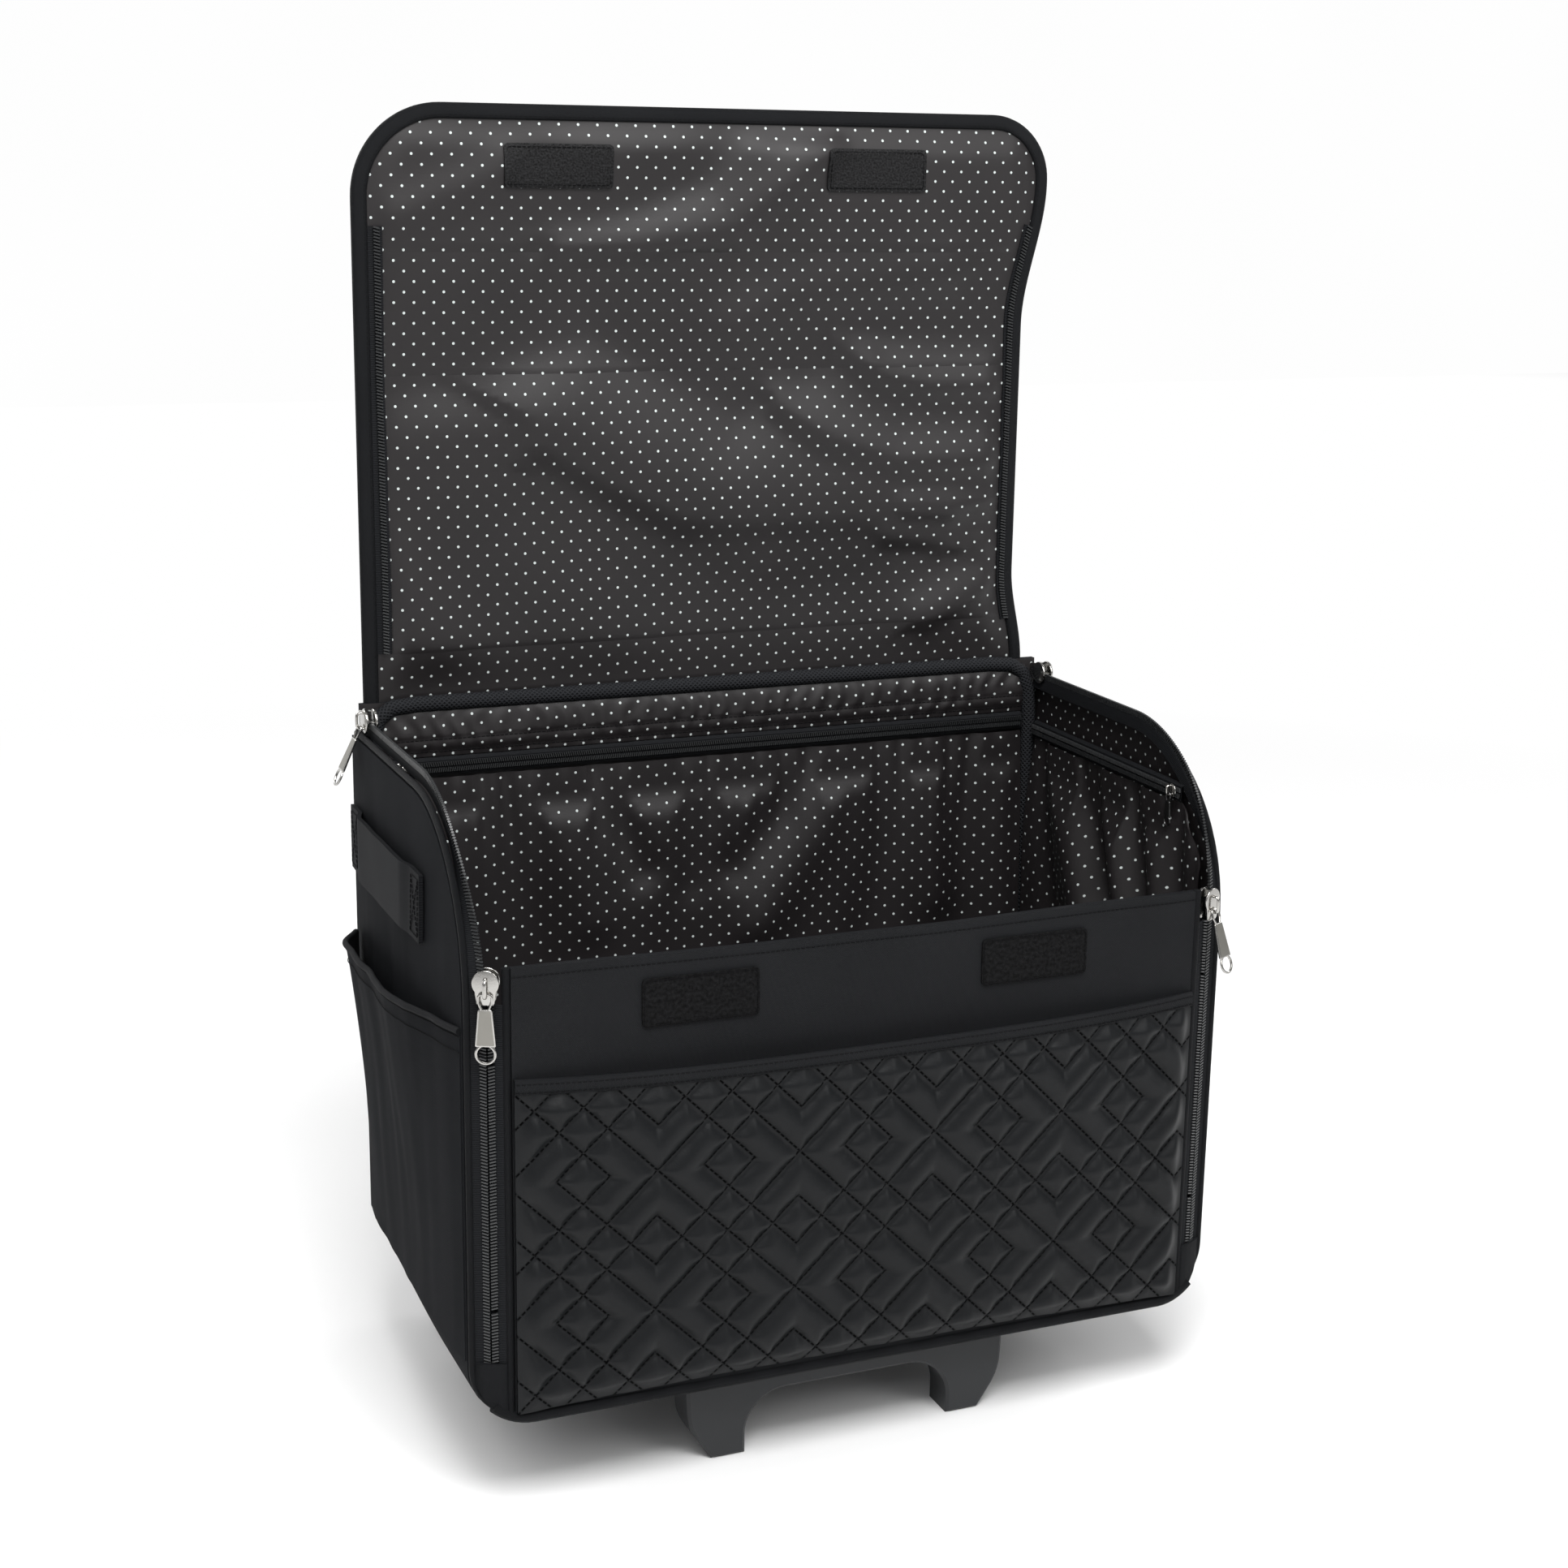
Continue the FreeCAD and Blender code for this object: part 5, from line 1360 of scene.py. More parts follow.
    def build_zip(self, word: str, paths: list[list[Vector]], nodes: tuple[str, ...]) -> list[Piece]:
        """Make the half zips of one stretch: tape under the binding and a row of teeth beside it."""
        strips, spots = [], []
        for path, wide in zip(paths, self.tape):
            inner = self.edge + wide
            section = ((inner, 0.0003), (inner - 0.0003, -0.001), (self.edge - 0.001, -0.0009))
            strips.append(self.rim_strip("lid_tape_strip", path, section))
            middle = spaced(self.rim_path(path, inner - self.tooth_inset, self.tooth_rise), Teeth.pitch)
            for first, second in zip(middle, middle[1:]):
                along = (second - first).normalized()
                across = along.cross(Vector((0, -1, 0))).normalized()
                spots.append(basis((first + second) / 2, across, along, across.cross(along)))
        tape = paint(joined("lid_zip_tape_" + word, strips), self.wear.tape)
        soften(tape, 70)
        teeth = copies("lid_zip_teeth_" + word, Teeth().pattern(), spots)
        paint(soften(teeth, 50), self.wear.coil)
        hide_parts(*nodes)
        return [tape, teeth]

    def build_patches(self) -> None:
        """Make the two hook patches at the free edge."""
        spot = Vector((self.patch_x, 0, self.patch_z))
        patches, paths = sewn_patches("hook_patches", spot, self.patch, self.patch_hem, self.face_y)
        paint(patches, self.wear.hook)
        settle(patches, "lid_front", "hook_and_loop", "lid_hook_patches")
        settle(self.sew.rows("hook_patch_stitches", paths), "lid_front", "hook_and_loop")


@dataclass
class Teeth:
    """One turn of a zip's nylon coil."""

    wide: float = 0.0042
    scale: float = 1.0
    pitch: float = 0.0021
    fill: float = 0.4
    thick: float = 0.002108
    slant: float = math.radians(16)

    def pattern(self) -> Piece:
        """Return one tooth lying along X, slanted as in a coil."""
        radius = self.pitch * self.fill
        tooth = primitive("cylinder", vertices=6, radius=radius * self.scale, depth=self.wide)
        bpy.ops.transform.rotate(value=QUARTER, orient_axis="Y", center_override=(0, 0, 0))
        bpy.ops.transform.resize(value=(1, 1, self.thick / (2 * radius)))
        bpy.ops.transform.rotate(value=self.slant, orient_axis="Z", center_override=(0, 0, 0))
        return fixed(tooth)


@dataclass
class SideZips:
    """Zips that run from the rear over the shoulders and down the front, with their end tabs."""

    wear: Wardrobe
    tape_in: float = 0.0046
    tape_bend: float = 0.0075
    tape_out: float = 0.0112
    tape_thick: float = 0.0012
    tape_wide: float = 0.01
    step: float = 0.005
    row_gap: float = 0.00258
    swing: float = math.radians(55)
    slider_low: float = 0.3385
    panel_low: float = 0.138
    panel_high: float = 0.2995
    lining: Section = ((0.013, -0.0026), (0.009, -0.0022), (0.0052, -0.0016))
    lining_share: float = 0.78
    guard: Section = ((-0.0035, -0.0049), (0.0092, -0.0049), (0.0118, -0.002))
    guard_top: float = 0.345
    flap_thick: float = 0.0008
    tab_section: Section = (
        (-0.0105, -0.001), (-0.0095, 0.0016), (-0.005, 0.0026), (0.0, 0.003), (0.005, 0.0026), (0.01, 0.0016),
        (0.0112, -0.001),
    )
    tab_top: float = 0.1045
    tab_round: float = 0.0355
    tab_reach: float = 0.0352
    tab_thick: float = 0.0022

    def lengths(self) -> tuple[float, float]:
        """Return the lengths of a zip's top and shoulder."""
        return CASE.zip_rear - CASE.zip_y, CASE.zip_radius * QUARTER

    def at(self, sign: int, run: float) -> tuple[Vector, Vector, Vector, Vector]:
        """Return the middle of a zip and its axes at a distance from its rear end.

        Args:
            sign: -1 on the left, 1 on the right.
            run: Distance along the zip.

        Returns:
            Middle, way along, way across to the side panel, and way out.
        """
        top, arc = self.lengths()
        if run <= top:
            y, z, turn = CASE.zip_rear - run, CASE.zip_top, QUARTER
        elif run <= top + arc:
            turn = QUARTER - (run - top) / CASE.zip_radius
            y = CASE.zip_y - CASE.zip_radius * math.cos(turn)
            z = CASE.zip_z + CASE.zip_radius * math.sin(turn)
        else:
            y, z, turn = CASE.zip_y - CASE.zip_radius, CASE.zip_z - (run - top - arc), 0.0
        inward = Vector((0, math.cos(turn), -math.sin(turn)))
        along = Vector((0, -math.sin(turn), -math.cos(turn)))
        share = smooth(self.swing - turn, 0.0, self.swing)
        x = CASE.top_zip_x + (CASE.front_zip_x - CASE.top_zip_x) * share
        facing = QUARTER + (CASE.band - QUARTER) * share
        outside = Vector((sign, 0, 0))
        across = inward * math.sin(facing) + outside * math.cos(facing)
        out = outside * math.sin(facing) - inward * math.cos(facing)
        return Vector((sign * x, y, z)), along, across, out

    def run_at_height(self, z: float) -> float:
        """Return the distance along a zip of a height on its front stretch."""
        return sum(self.lengths()) + CASE.zip_z - z

    def strip(self, name: str, sign: int, runs: tuple[float, float], section: Section) -> Piece:
        """Make a strip along a zip.

        Args:
            name: Name of the piece.
            sign: -1 on the left, 1 on the right.
            runs: Start and end along the zip.
            section: Distances across and out from the zip's middle.

        Returns:
            The strip, with its face out.
        """
        length = runs[1] - runs[0]

        def at(share: float, wide: float, high: float) -> Vector:
            """Return the strip's point at a share of its length."""
            middle, _along, across, out = self.at(sign, runs[0] + length * share)
            return middle + across * wide + out * high

        ordered = section if sign < 0 else section[::-1]
        return swept(name, ordered, max(int(length / self.step), 2), at, flat_chart(self.tape_wide, length))

    def teeth(self, sign: int, runs: tuple[float, float], row: int) -> list[Matrix]:
        """Return the places of one row of teeth.

        Args:
            sign: -1 on the left, 1 on the right.
            runs: Start and end along the zip.
            row: 1 for the side panel's row, -1 for the other.

        Returns:
            Place and turn of each tooth.
        """
        spots = []
        for index in range(int((runs[1] - runs[0]) / Teeth.pitch)):
            run = runs[0] + Teeth.pitch * (index + 0.5 + 0.25 * row)
            middle, along, across, out = self.at(sign, run)
            way = across * row
            normal = way.cross(along)
            spots.append(basis(middle + way * self.row_gap, way, along, normal if normal.dot(out) > 0 else out))
        return spots

    def build(self) -> None:
        """Make both side zips, the front panel's half zips and the end tabs."""
        end = self.run_at_height(CASE.zip_low)
        panel_runs = (self.run_at_height(self.panel_high), self.run_at_height(self.panel_low))
        upper = (self.run_at_height(self.slider_low), panel_runs[0])
        lower = (panel_runs[1], end)
        top, arc = self.lengths()
        side_section = ((self.tape_in, 0.0), (self.tape_bend, 0.0004), (self.tape_out, 0.0004))
        panel_section = ((-self.tape_out + 0.001, 0.0002), (-self.tape_bend, 0.0004), (-self.tape_in, 0.0))
        panel_tapes, panel_teeth, tabs = [], [], []
        for side in Side:
            sign = side.value
            tapes = [self.strip("tape_part", sign, (0.0, end), side_section)]
            spots = self.teeth(sign, (0.0, end), 1)
            for runs in (upper, lower):
                tapes.append(self.strip("tape_part", sign, runs, panel_section))
                spots += self.teeth(sign, runs, -1)
            parts = [thicken(joined(side.word + "_zip_tape", tapes), self.tape_thick)]
            for start, stop, section in ((0.0, top + self.lining_share * arc, self.lining),
                                         (self.run_at_height(self.guard_top), end, self.guard)):
                parts.append(thicken(self.strip("tape_part", sign, (start, stop), section), self.flap_thick))
            tape = joined(side.word + "_zip_tape", parts)
            paint(soften(tape), self.wear.tape)
            settle(tape, "case", "zip_tape", side.word + "_side_zip")
            teeth = copies(side.word + "_zip_teeth", Teeth().pattern(), spots)
            settle(paint(soften(teeth, 50), self.wear.coil), "case", "zip_tape")
            panel_tapes.append(self.strip("tape_part", sign, panel_runs, panel_section))
            panel_teeth += self.teeth(sign, panel_runs, -1)
            tabs.append(self.tab(sign))
        tape = thicken(joined("front_panel_zip_tapes", panel_tapes), self.tape_thick)
        settle(paint(soften(tape), self.wear.tape), "front_panel", "zip_tape", "front_zip_tapes")
        teeth = copies("front_panel_zip_teeth", Teeth().pattern(), panel_teeth)
        settle(paint(soften(teeth, 50), self.wear.coil), "front_panel", "zip_tape")
        tab = paint(joined("zip_ends", tabs), self.wear.trim)
        settle(soften(tab, 60), "case", "shell_fabric", "zip_end_tabs")

    def tab(self, sign: int) -> Piece:
        """Make the folded cloth over a zip's lower end."""
        runs = (self.run_at_height(self.tab_top), self.run_at_height(CASE.panel_low))
        piece = self.strip("tab_part", sign, runs, self.tab_section)
        centre = CASE.half - CASE.corner
        for point in piece.data.vertices:
            over = min(max(abs(point.co.x) - centre, 0.0), self.tab_reach)
            lowest = CASE.corner_top - math.sqrt(self.tab_round**2 - over**2)
            share = (self.tab_top - point.co.z) / (self.tab_top - CASE.panel_low)
            point.co.z = self.tab_top - share * (self.tab_top - lowest)
        return thicken(piece, self.tab_thick)


def mirrored(half: Sequence[Vector]) -> list[Vector]:
    """Return a path along the left side and back along the right, from the right side's half of it."""
    return [Vector((-spot.x, spot.y, spot.z)) for spot in half] + list(half)[::-1]


@dataclass
class Trim:
    """Piping along the edges and the thick binding round the opening."""

    wear: Wardrobe
    edge_x: float = 0.2615
    edge_y: float = -0.1334
    edge_top: float = 0.447
    edge_round: float = 0.10775
    edge_corner: float = 0.0355
    edge_cord: float = 0.0022
    panel_x: float = 0.2395
    panel_y: float = -0.1416
    panel_cord: float = 0.0028
    roll_y: float = -0.1428
    roll_z: float = 0.1005
    roll_round: float = 0.0345
    roll_back: float = 0.004
    roll_start: float = 46.0
    roll_step: float = 4.4
    roll_cord: float = 0.004
    rope_cord: float = 0.0056
    rope: tuple[Spot, ...] = (
        (0.253, 0.1262, 0.1), (0.253, 0.1262, 0.3), (0.253, 0.1262, 0.425), (0.252, 0.1268, 0.443),
        (0.2475, 0.128, 0.456), (0.238, 0.1292, 0.4625), (0.22, 0.1296, 0.464),
    )

    def build(self) -> None:
        """Make the edge piping, the panel's piping and the rope round the opening."""
        x, y, top, bend, corner = self.edge_x, self.edge_y, self.edge_top, self.edge_round, self.edge_corner
        centre = CASE.half - CASE.corner
        path = [Vector((x, CASE.inner_back, top))]
        path += quarter_arc((x, y + bend, top - bend), (0, 0, bend), (0, -bend, 0))
        path += quarter_arc((centre, y, CASE.corner_top), (corner, 0, 0), (0, 0, -corner))
        piping = tube("case_piping", mirrored(path), self.edge_cord)
        settle(paint(piping, self.wear.piping), "case", "piping", "edge_piping")
        sides = []
        for side in Side:
            run = [Vector((side.value * self.panel_x, self.panel_y, z)) for z in (CASE.panel_low, CASE.panel_top)]
            sides.append(tube("panel_piping_part", run, self.panel_cord))
        piping = paint(joined("panel_piping", sides), self.wear.piping)
        settle(piping, "front_panel", "piping", "front_panel_piping")
        path = []
        for turn in [math.radians(self.roll_start + self.roll_step * step) for step in range(11)]:
            out, up = math.cos(turn), math.sin(turn)
            path.append(Vector((centre + self.roll_round * out, self.roll_y + self.roll_back * out,
                                self.roll_z - self.roll_round * up)))
        roll = paint(tube("front_bottom_roll", mirrored(path), self.roll_cord), self.wear.piping)
        settle(roll, "case", "piping")
        path = mirrored([Vector(spot) for spot in self.rope])
        rope = tube("opening_rope", path, self.rope_cord, step=0.003, sides=16)
        settle(paint(rope, self.wear.rope), "case", "piping", "hinge_piping", "inner_corner_binding")


def hanging(zip_height: float, spots: Sequence[tuple[float, float, float, float, float]]) -> tuple[Fold, ...]:
    """Return folds that hang from a zip, each by its place along it, lean, length, rise and width."""
    return tuple(Fold(((x, zip_height), (x + 0.4 * lean, zip_height - 0.5 * length), (x + lean, zip_height - length)),
                      rise, wide, wide) for x, lean, length, rise, wide in spots)


REAR_FOLDS = hanging(0.409, (
    (-0.225, 0.012, 0.15, -0.005, 0.02), (-0.196, -0.006, 0.11, 0.003, 0.016), (-0.16, 0.026, 0.14, -0.005, 0.019),
    (-0.122, 0.024, 0.11, 0.004, 0.017), (-0.088, 0.03, 0.075, -0.006, 0.015), (-0.05, -0.016, 0.15, 0.005, 0.022),
    (-0.01, -0.01, 0.09, -0.003, 0.014), (0.016, 0.01, 0.12, 0.004, 0.018), (0.074, -0.06, 0.08, -0.006, 0.017),
    (0.104, -0.074, 0.13, 0.005, 0.019), (0.14, -0.02, 0.15, -0.005, 0.018), (0.166, 0.01, 0.12, 0.004, 0.015),
    (0.196, 0.004, 0.17, -0.006, 0.016), (0.226, 0.006, 0.14, 0.005, 0.014)))
RIGHT_FOLDS = hanging(0.404, (
    (0.104, -0.06, 0.22, -0.008, 0.014), (0.076, -0.13, 0.2, 0.012, 0.02), (0.036, -0.12, 0.2, -0.01, 0.016),
    (0.002, -0.1, 0.18, 0.01, 0.014), (-0.03, -0.08, 0.18, -0.009, 0.013), (-0.058, -0.06, 0.16, 0.008, 0.012),
    (-0.086, -0.04, 0.16, -0.007, 0.011)))


@dataclass
class InnerPockets:
    """Gathered pockets on the back and right walls, with their small zips."""

    wear: Wardrobe
    sew: Stitching
    cloth: float = 0.0012
    belly: float = 0.009
    frill: float = 0.0011
    off_wall: float = 0.0022
    rear_half: float = 0.247
    rear_low: float = 0.076
    rear_top: float = 0.412
    rear_zip: float = 0.42
    right_rear: float = 0.1181
    right_front: float = -0.12
    right_top: float = 0.4076
    right_zip: float = 0.4146
    right_run: float = 0.212
    shoulder_gap: float = 0.016
    tape: Section = ((-0.0066, 0.0044), (-0.0048, 0.0056), (0.0, 0.0054), (0.0048, 0.0056), (0.0064, 0.003))
    tape_wide: float = 0.022
    pitch: float = 0.0016
    tooth: float = 0.003
    tooth_scale: float = 0.72
    row_gap: float = 0.0021
    row_off: float = 0.0066
    band_wide: float = 0.5
    band_low: float = 0.427
    band_tall: float = 0.036
    band_cloth: float = 0.001
    band_seams: tuple[float, float] = (0.1, 0.34)

    def gather(self, along: float, z: float, up: float, folds: Sequence[Fold], seed: float) -> float:
        """Return how far gathered cloth stands off its wall.

        Args:
            along: Place along the zip.
            z: Height.
            up: Share from the bottom to the zip.
            folds: Folds that hang from the zip.
            seed: Which pocket's puckers.

        Returns:
            Distance in metres.
        """
        fine = math.sin(along * 300 + 5.0 * ripple(along * 14, up * 1.5, seed))
        belly = math.sin(math.pi * min(up * 0.94 + 0.04, 1.0)) ** 0.4
        slack = ripple(along * 9, z * 7, seed + 2)
        hung = sum(fold.height(along, z) for fold in folds)
        frill = self.frill * fine * smooth(up, 0.75, 1.0)
        off = max(self.belly * belly + belly * (0.003 * slack + hung), 0.0008) + self.off_wall + frill
        return min(off, 0.0064 + 0.12 * max(0.93 - up, 0.0))

    def build_zip(self, name: str, length: float, at: Strip) -> None:
        """Make the tape and teeth of a small zip.

        Args:
            name: CAD node of the zip, and first part of the pieces' names.
            length: Length of the zip.
            at: Point for a distance along, a height over the zip and a distance off the wall.
        """
        last = len(self.tape) - 1
        tape = sheet(name + "_tape", 80, last, lambda u, v: at(u * length, *self.tape[round(v * last)]),
                     flat_chart(length, self.tape_wide))
        spots = []
        for row in (-1, 1):
            for index in range(int(length / self.pitch)):
                run = self.pitch * (index + 0.5 + 0.25 * row)
                along = (at(run + 0.001, 0, 0.006) - at(run, 0, 0.006)).normalized()
                up = Vector((0, 0, row))
                spots.append(basis(at(run, row * self.row_gap, self.row_off), up, along, up.cross(along)))
        teeth = copies(name + "_teeth", Teeth(self.tooth, self.tooth_scale).pattern(), spots)
        settle(paint(soften(tape), self.wear.tape), "case", "zip_tape", name)
        settle(paint(soften(teeth, 50), self.wear.coil), "case", "zip_tape")

    def line(self, piece: Piece, depth: float, *nodes: str) -> None:
        """Give a pocket's sheet its thickness, its finish and its place on the case."""
        paint(piece, self.wear.lining)
        soften(thicken(piece, depth), 70)
        settle(piece, "case", "lining_fabric", *nodes)

    def build(self) -> None:
        """Make both pockets and their zips."""
        wall, inner, low = CASE.inner_back, CASE.half - CASE.wall, CASE.corner_top

        def rear(u: float, v: float) -> Vector:
            """Return the rear pocket's point for two shares."""
            x = self.rear_half * (2 * u - 1)
            z = self.rear_low + (self.rear_top - self.rear_low) * v
            return Vector((x, wall - self.gather(x, z, v, REAR_FOLDS, 4.4), z))

        def right(u: float, v: float) -> Vector:
            """Return the right pocket's point for two shares."""
            y = self.right_rear + (self.right_front - self.right_rear) * u
            z = low + (min(self.right_top, CASE.side_edge(y) - self.shoulder_gap) - low) * v
            return Vector((inner - self.gather(y, z, v, RIGHT_FOLDS, 9.1), y, z))

        pocket = sheet("rear_gathered_pocket", 220, 60, rear, front_chart)
        self.line(pocket, self.cloth, "rear_inner_pocket")
        self.build_zip("rear_pocket_zip", 2 * self.rear_half,
                       lambda run, up, off: Vector((run - self.rear_half, wall - off, self.rear_zip + up)))
        self.build_band()
        pocket = sheet("right_gathered_pocket", 120, 56, right, side_chart)
        self.line(pocket, self.cloth, "right_inner_pocket")
        self.build_zip("right_pocket_zip", self.right_run,
                       lambda run, up, off: Vector((inner - off, self.right_rear - run, self.right_zip + up)))

    def build_band(self) -> None:
        """Make the puckered strip of lining over the rear zip, with its two rows of stitches."""
        first, second = self.band_seams

        def place(u: float, v: float, lift: float = 0.0) -> Vector:
            """Return the band's point for two shares, raised off its face."""
            x = self.band_wide * (u - 0.5)
            seam = bump(v, first, 0.05) + bump(v, second, 0.04)
            pucker = 0.5 + 0.5 * math.sin(x * 420 + 4 * ripple(x * 20, v * 2, 3.0))
            puff = math.sin(math.pi * min(v + 0.05, 1.0)) ** 0.6
            off = self.off_wall + 0.0032 * puff - 0.0007 * seam + 0.0013 * pucker * puff
            off += 0.0014 * puff * ripple(x * 34, v * 2, 8.0) + lift
            return Vector((x, CASE.inner_back - off, self.band_low + self.band_tall * v))

        band = sheet("rear_lining_band", 240, 20, place, front_chart)
        self.line(band, self.band_cloth)
        rows = [[place(step / 160, level, 0.0002) for step in range(161)] for level in self.band_seams]
        settle(self.sew.rows("rear_lining_band_stitches", rows), "case", "lining_fabric")


@dataclass
class SideGoods:
    """Slip pockets and webbing grab straps on the outside of the case, and the handle's sleeves."""

    wear: Wardrobe
    sew: Stitching
    walls: Walls
    front: float = -0.1289
    rear: float = 0.1241
    low: float = 0.104
    mouth_rear: float = 0.308
    mouth_rise: float = 0.012
    mouth_sag: float = 0.003
    pocket_cloth: float = 0.002
    pocket_stand: float = 0.0105
    pocket_steps: int = 60
    hems: tuple[float, float] = (0.016, 0.062)
    edge_cord: float = 0.0021
    strap_rear: float = 0.1281
    strap_run: float = 0.185
    strap_z: float = 0.376
    strap_wide: float = 0.044
    strap_thick: float = 0.0028
    strap_seams: tuple[tuple[float, float], ...] = ((0.012, 0.105), (0.895, 0.988))
    sleeve: Section = (
        (0.024, 0.0008), (0.0165, 0.0012), (0.015, 0.012), (0.012, 0.0208), (0.0, 0.0214), (-0.012, 0.0208),
        (-0.015, 0.012), (-0.0165, 0.0012), (-0.024, 0.0008),
    )
    sleeve_x: float = 0.115
    sleeve_low: float = 0.08
    sleeve_tall: float = 0.344
    sleeve_wide: float = 0.08
    sleeve_cloth: float = 0.002

    def mouth(self, along: float) -> float:
        """Return the height of a slip pocket's mouth at a share from its rear."""
        return self.mouth_rear + self.mouth_rise * along - self.mouth_sag * math.sin(math.pi * along)

    def build(self) -> None:
        """Make what is sewn to the outside of both sides."""
        for side in Side:
            self.build_pocket(side)
            self.build_strap(side)
        self.build_sleeves()

    def build_pocket(self, side: Side) -> None:
        """Make one slip pocket with its hemmed mouth."""
        sign = side.value

        def place(u: float, v: float) -> Vector:
            """Return the pocket's point for two shares."""
            share = u if sign < 0 else 1 - u
            y = self.rear + (self.front - self.rear) * share
            z = self.low + (self.mouth(share) - self.low) * v
            ends = smooth(share, -0.02, 0.1) * smooth(1 - share, 0.0, 0.45)
            swell = self.walls.swell(y, z, sign)
            fold = 0.0016 * ripple(y * 30, z * 6, 12.0 + sign)
            sewn = 0.0007 + 0.0015 * smooth(1 - share, 0.0, 0.07)
            stand = sewn + ends * (0.0025 + self.pocket_stand * v**3 + fold)
            return Vector((sign * (CASE.half + max(swell, -0.004) + stand), y, z))

        shares = [step / self.pocket_steps for step in range(self.pocket_steps + 1)]
        pocket = sheet(side.word + "_slip_pocket", self.pocket_steps, 56, place, side_chart)
        paint(pocket, self.wear.shell, self.wear.trim)
        soften(thicken(pocket, self.pocket_cloth, lined=True), 60)
        settle(pocket, "case", "shell_fabric", side.word + "_outer_pocket")
        out = Vector((sign * 0.0005, 0, 0))
        hem = [[place(share, 1 - drop) + out for share in shares] for drop in self.hems]
        settle(self.sew.rows(side.word + "_slip_pocket_stitches", hem), "case", "shell_fabric")
        roll = tube(side.word + "_slip_pocket_edge", [place(share, 1.0) for share in shares], self.edge_cord)
        settle(paint(roll, self.wear.trim), "case", "shell_fabric")

    def build_strap(self, side: Side) -> None:
        """Make one grab strap with its sewn ends."""
        sign = side.value

        def place(u: float, v: float, lift: float = 0.0) -> Vector:
            """Return the strap's point for two shares, raised off its face."""
            run = self.strap_run * (u if sign < 0 else 1 - u)
            y = self.strap_rear - run
            raised = smooth(run, 0.018, 0.04) * smooth(self.strap_run - run, 0.018, 0.04)
            z = self.strap_z + self.strap_wide * (v - 0.5)
            swell = max(self.walls.swell(y, z, sign), 0.0)
            stand = max(swell * (1 - raised) + 0.003 + 0.0055 * raised, swell + 0.0036)
            stand += 0.0005 * ripple(y * 30, z * 20, 2.0)
            return Vector((sign * (CASE.half + stand + lift), y, z))

        strap = sheet(side.word + "_strap", 70, 10, place, side_chart)
        paint(strap, self.wear.webbing)
        soften(thicken(strap, self.strap_thick), 50)
        settle(strap, "case", "webbing", side.word + "_grab_strap")
        low, high = 0.08, 0.92
        paths = []
        for start, stop in self.strap_seams:
            corners = ((start, low), (stop, low), (stop, high), (start, high), (start, low), (stop, high),
                       (stop, low), (start, high))
            paths.append([place(*corner, lift=0.0003) for corner in corners])
        settle(self.sew.rows(side.word + "_strap_stitches", paths), "case", "webbing")

    def build_sleeves(self) -> None:
        """Make the cloth sleeves of the handle's tubes on the back."""
        sleeves = []
        chart = flat_chart(self.sleeve_wide, self.sleeve_tall)
        for side in Side:
            middle = Vector((side.value * self.sleeve_x, CASE.back, self.sleeve_low))

            def at(share: float, wide: float, off: float) -> Vector:
                """Return a sleeve's point at a share of its height."""
                return middle + Vector((wide, off, self.sleeve_tall * share))

            sleeves.append(thicken(swept("sleeve_part", self.sleeve, 40, at, chart), self.sleeve_cloth))
        sleeve = paint(joined("handle_tube_sleeves", sleeves), self.wear.trim)
        settle(soften(sleeve, 60), "case", "shell_fabric", "handle_sleeves")


def plate(name: str, outline: Sequence[tuple[float, float]], low: float, high: float, bevel: float) -> Piece:
    """Make a flat plate from an outline seen from the front.

    Args:
        name: Name of the piece.
        outline: Corners in X and Z, counter-clockwise as seen from the front.
        low: Front face along Y.
        high: Rear face along Y.
        bevel: Rounding of its edges.

    Returns:
        The plate.
    """
    piece = primitive("circle", vertices=len(outline), radius=0.01, fill_type="NGON")
    piece.name = name
    for point, (x, z) in zip(piece.data.vertices, outline):
        point.co = (x, low, z)
    on_mesh(piece, bpy.ops.mesh.extrude_region_move, TRANSFORM_OT_translate={"value": (0, high - low, 0)})
    on_mesh(piece, bpy.ops.mesh.normals_make_consistent, inside=False)
    if bevel > 0:
        apply(piece, "BEVEL", width=bevel, segments=3, limit_method="ANGLE", angle_limit=math.radians(50))
    return piece


def round_outline(corners: Sequence[Spot], steps: int = 6) -> list[tuple[float, float]]:
    """Return an outline with each corner rounded.

    Args:
        corners: X, Z and radius of each corner.
        steps: Straight pieces in a rounding.

    Returns:
        Points of the outline.
    """
    points = []
    count = len(corners)
    for index, (x, z, radius) in enumerate(corners):
        spot = Vector((x, z))
        before = (Vector(corners[index - 1][:2]) - spot).normalized()
        after = (Vector(corners[(index + 1) % count][:2]) - spot).normalized()
        cut = radius / math.tan(before.angle(after) / 2)
        start, end = spot + before * cut, spot + after * cut
        for step in range(steps + 1):
            share = step / steps
            first, second = start.lerp(spot, share), spot.lerp(end, share)
            points.append(tuple(first.lerp(second, share)))
    return points


@dataclass(frozen=True)
class SliderKind:
    """Sizes of one kind of slider and its pull, in metres."""

    wide: float
    neck: float
    run: float
    gap: float
    wing: float
    bridge: float
    bridge_run: float
    eye: float
    bar: float
    pull_run: float
    pull_wide: float
    pull_head: float
    pull_thick: float
    pull_eye: float
    pull_rail: float


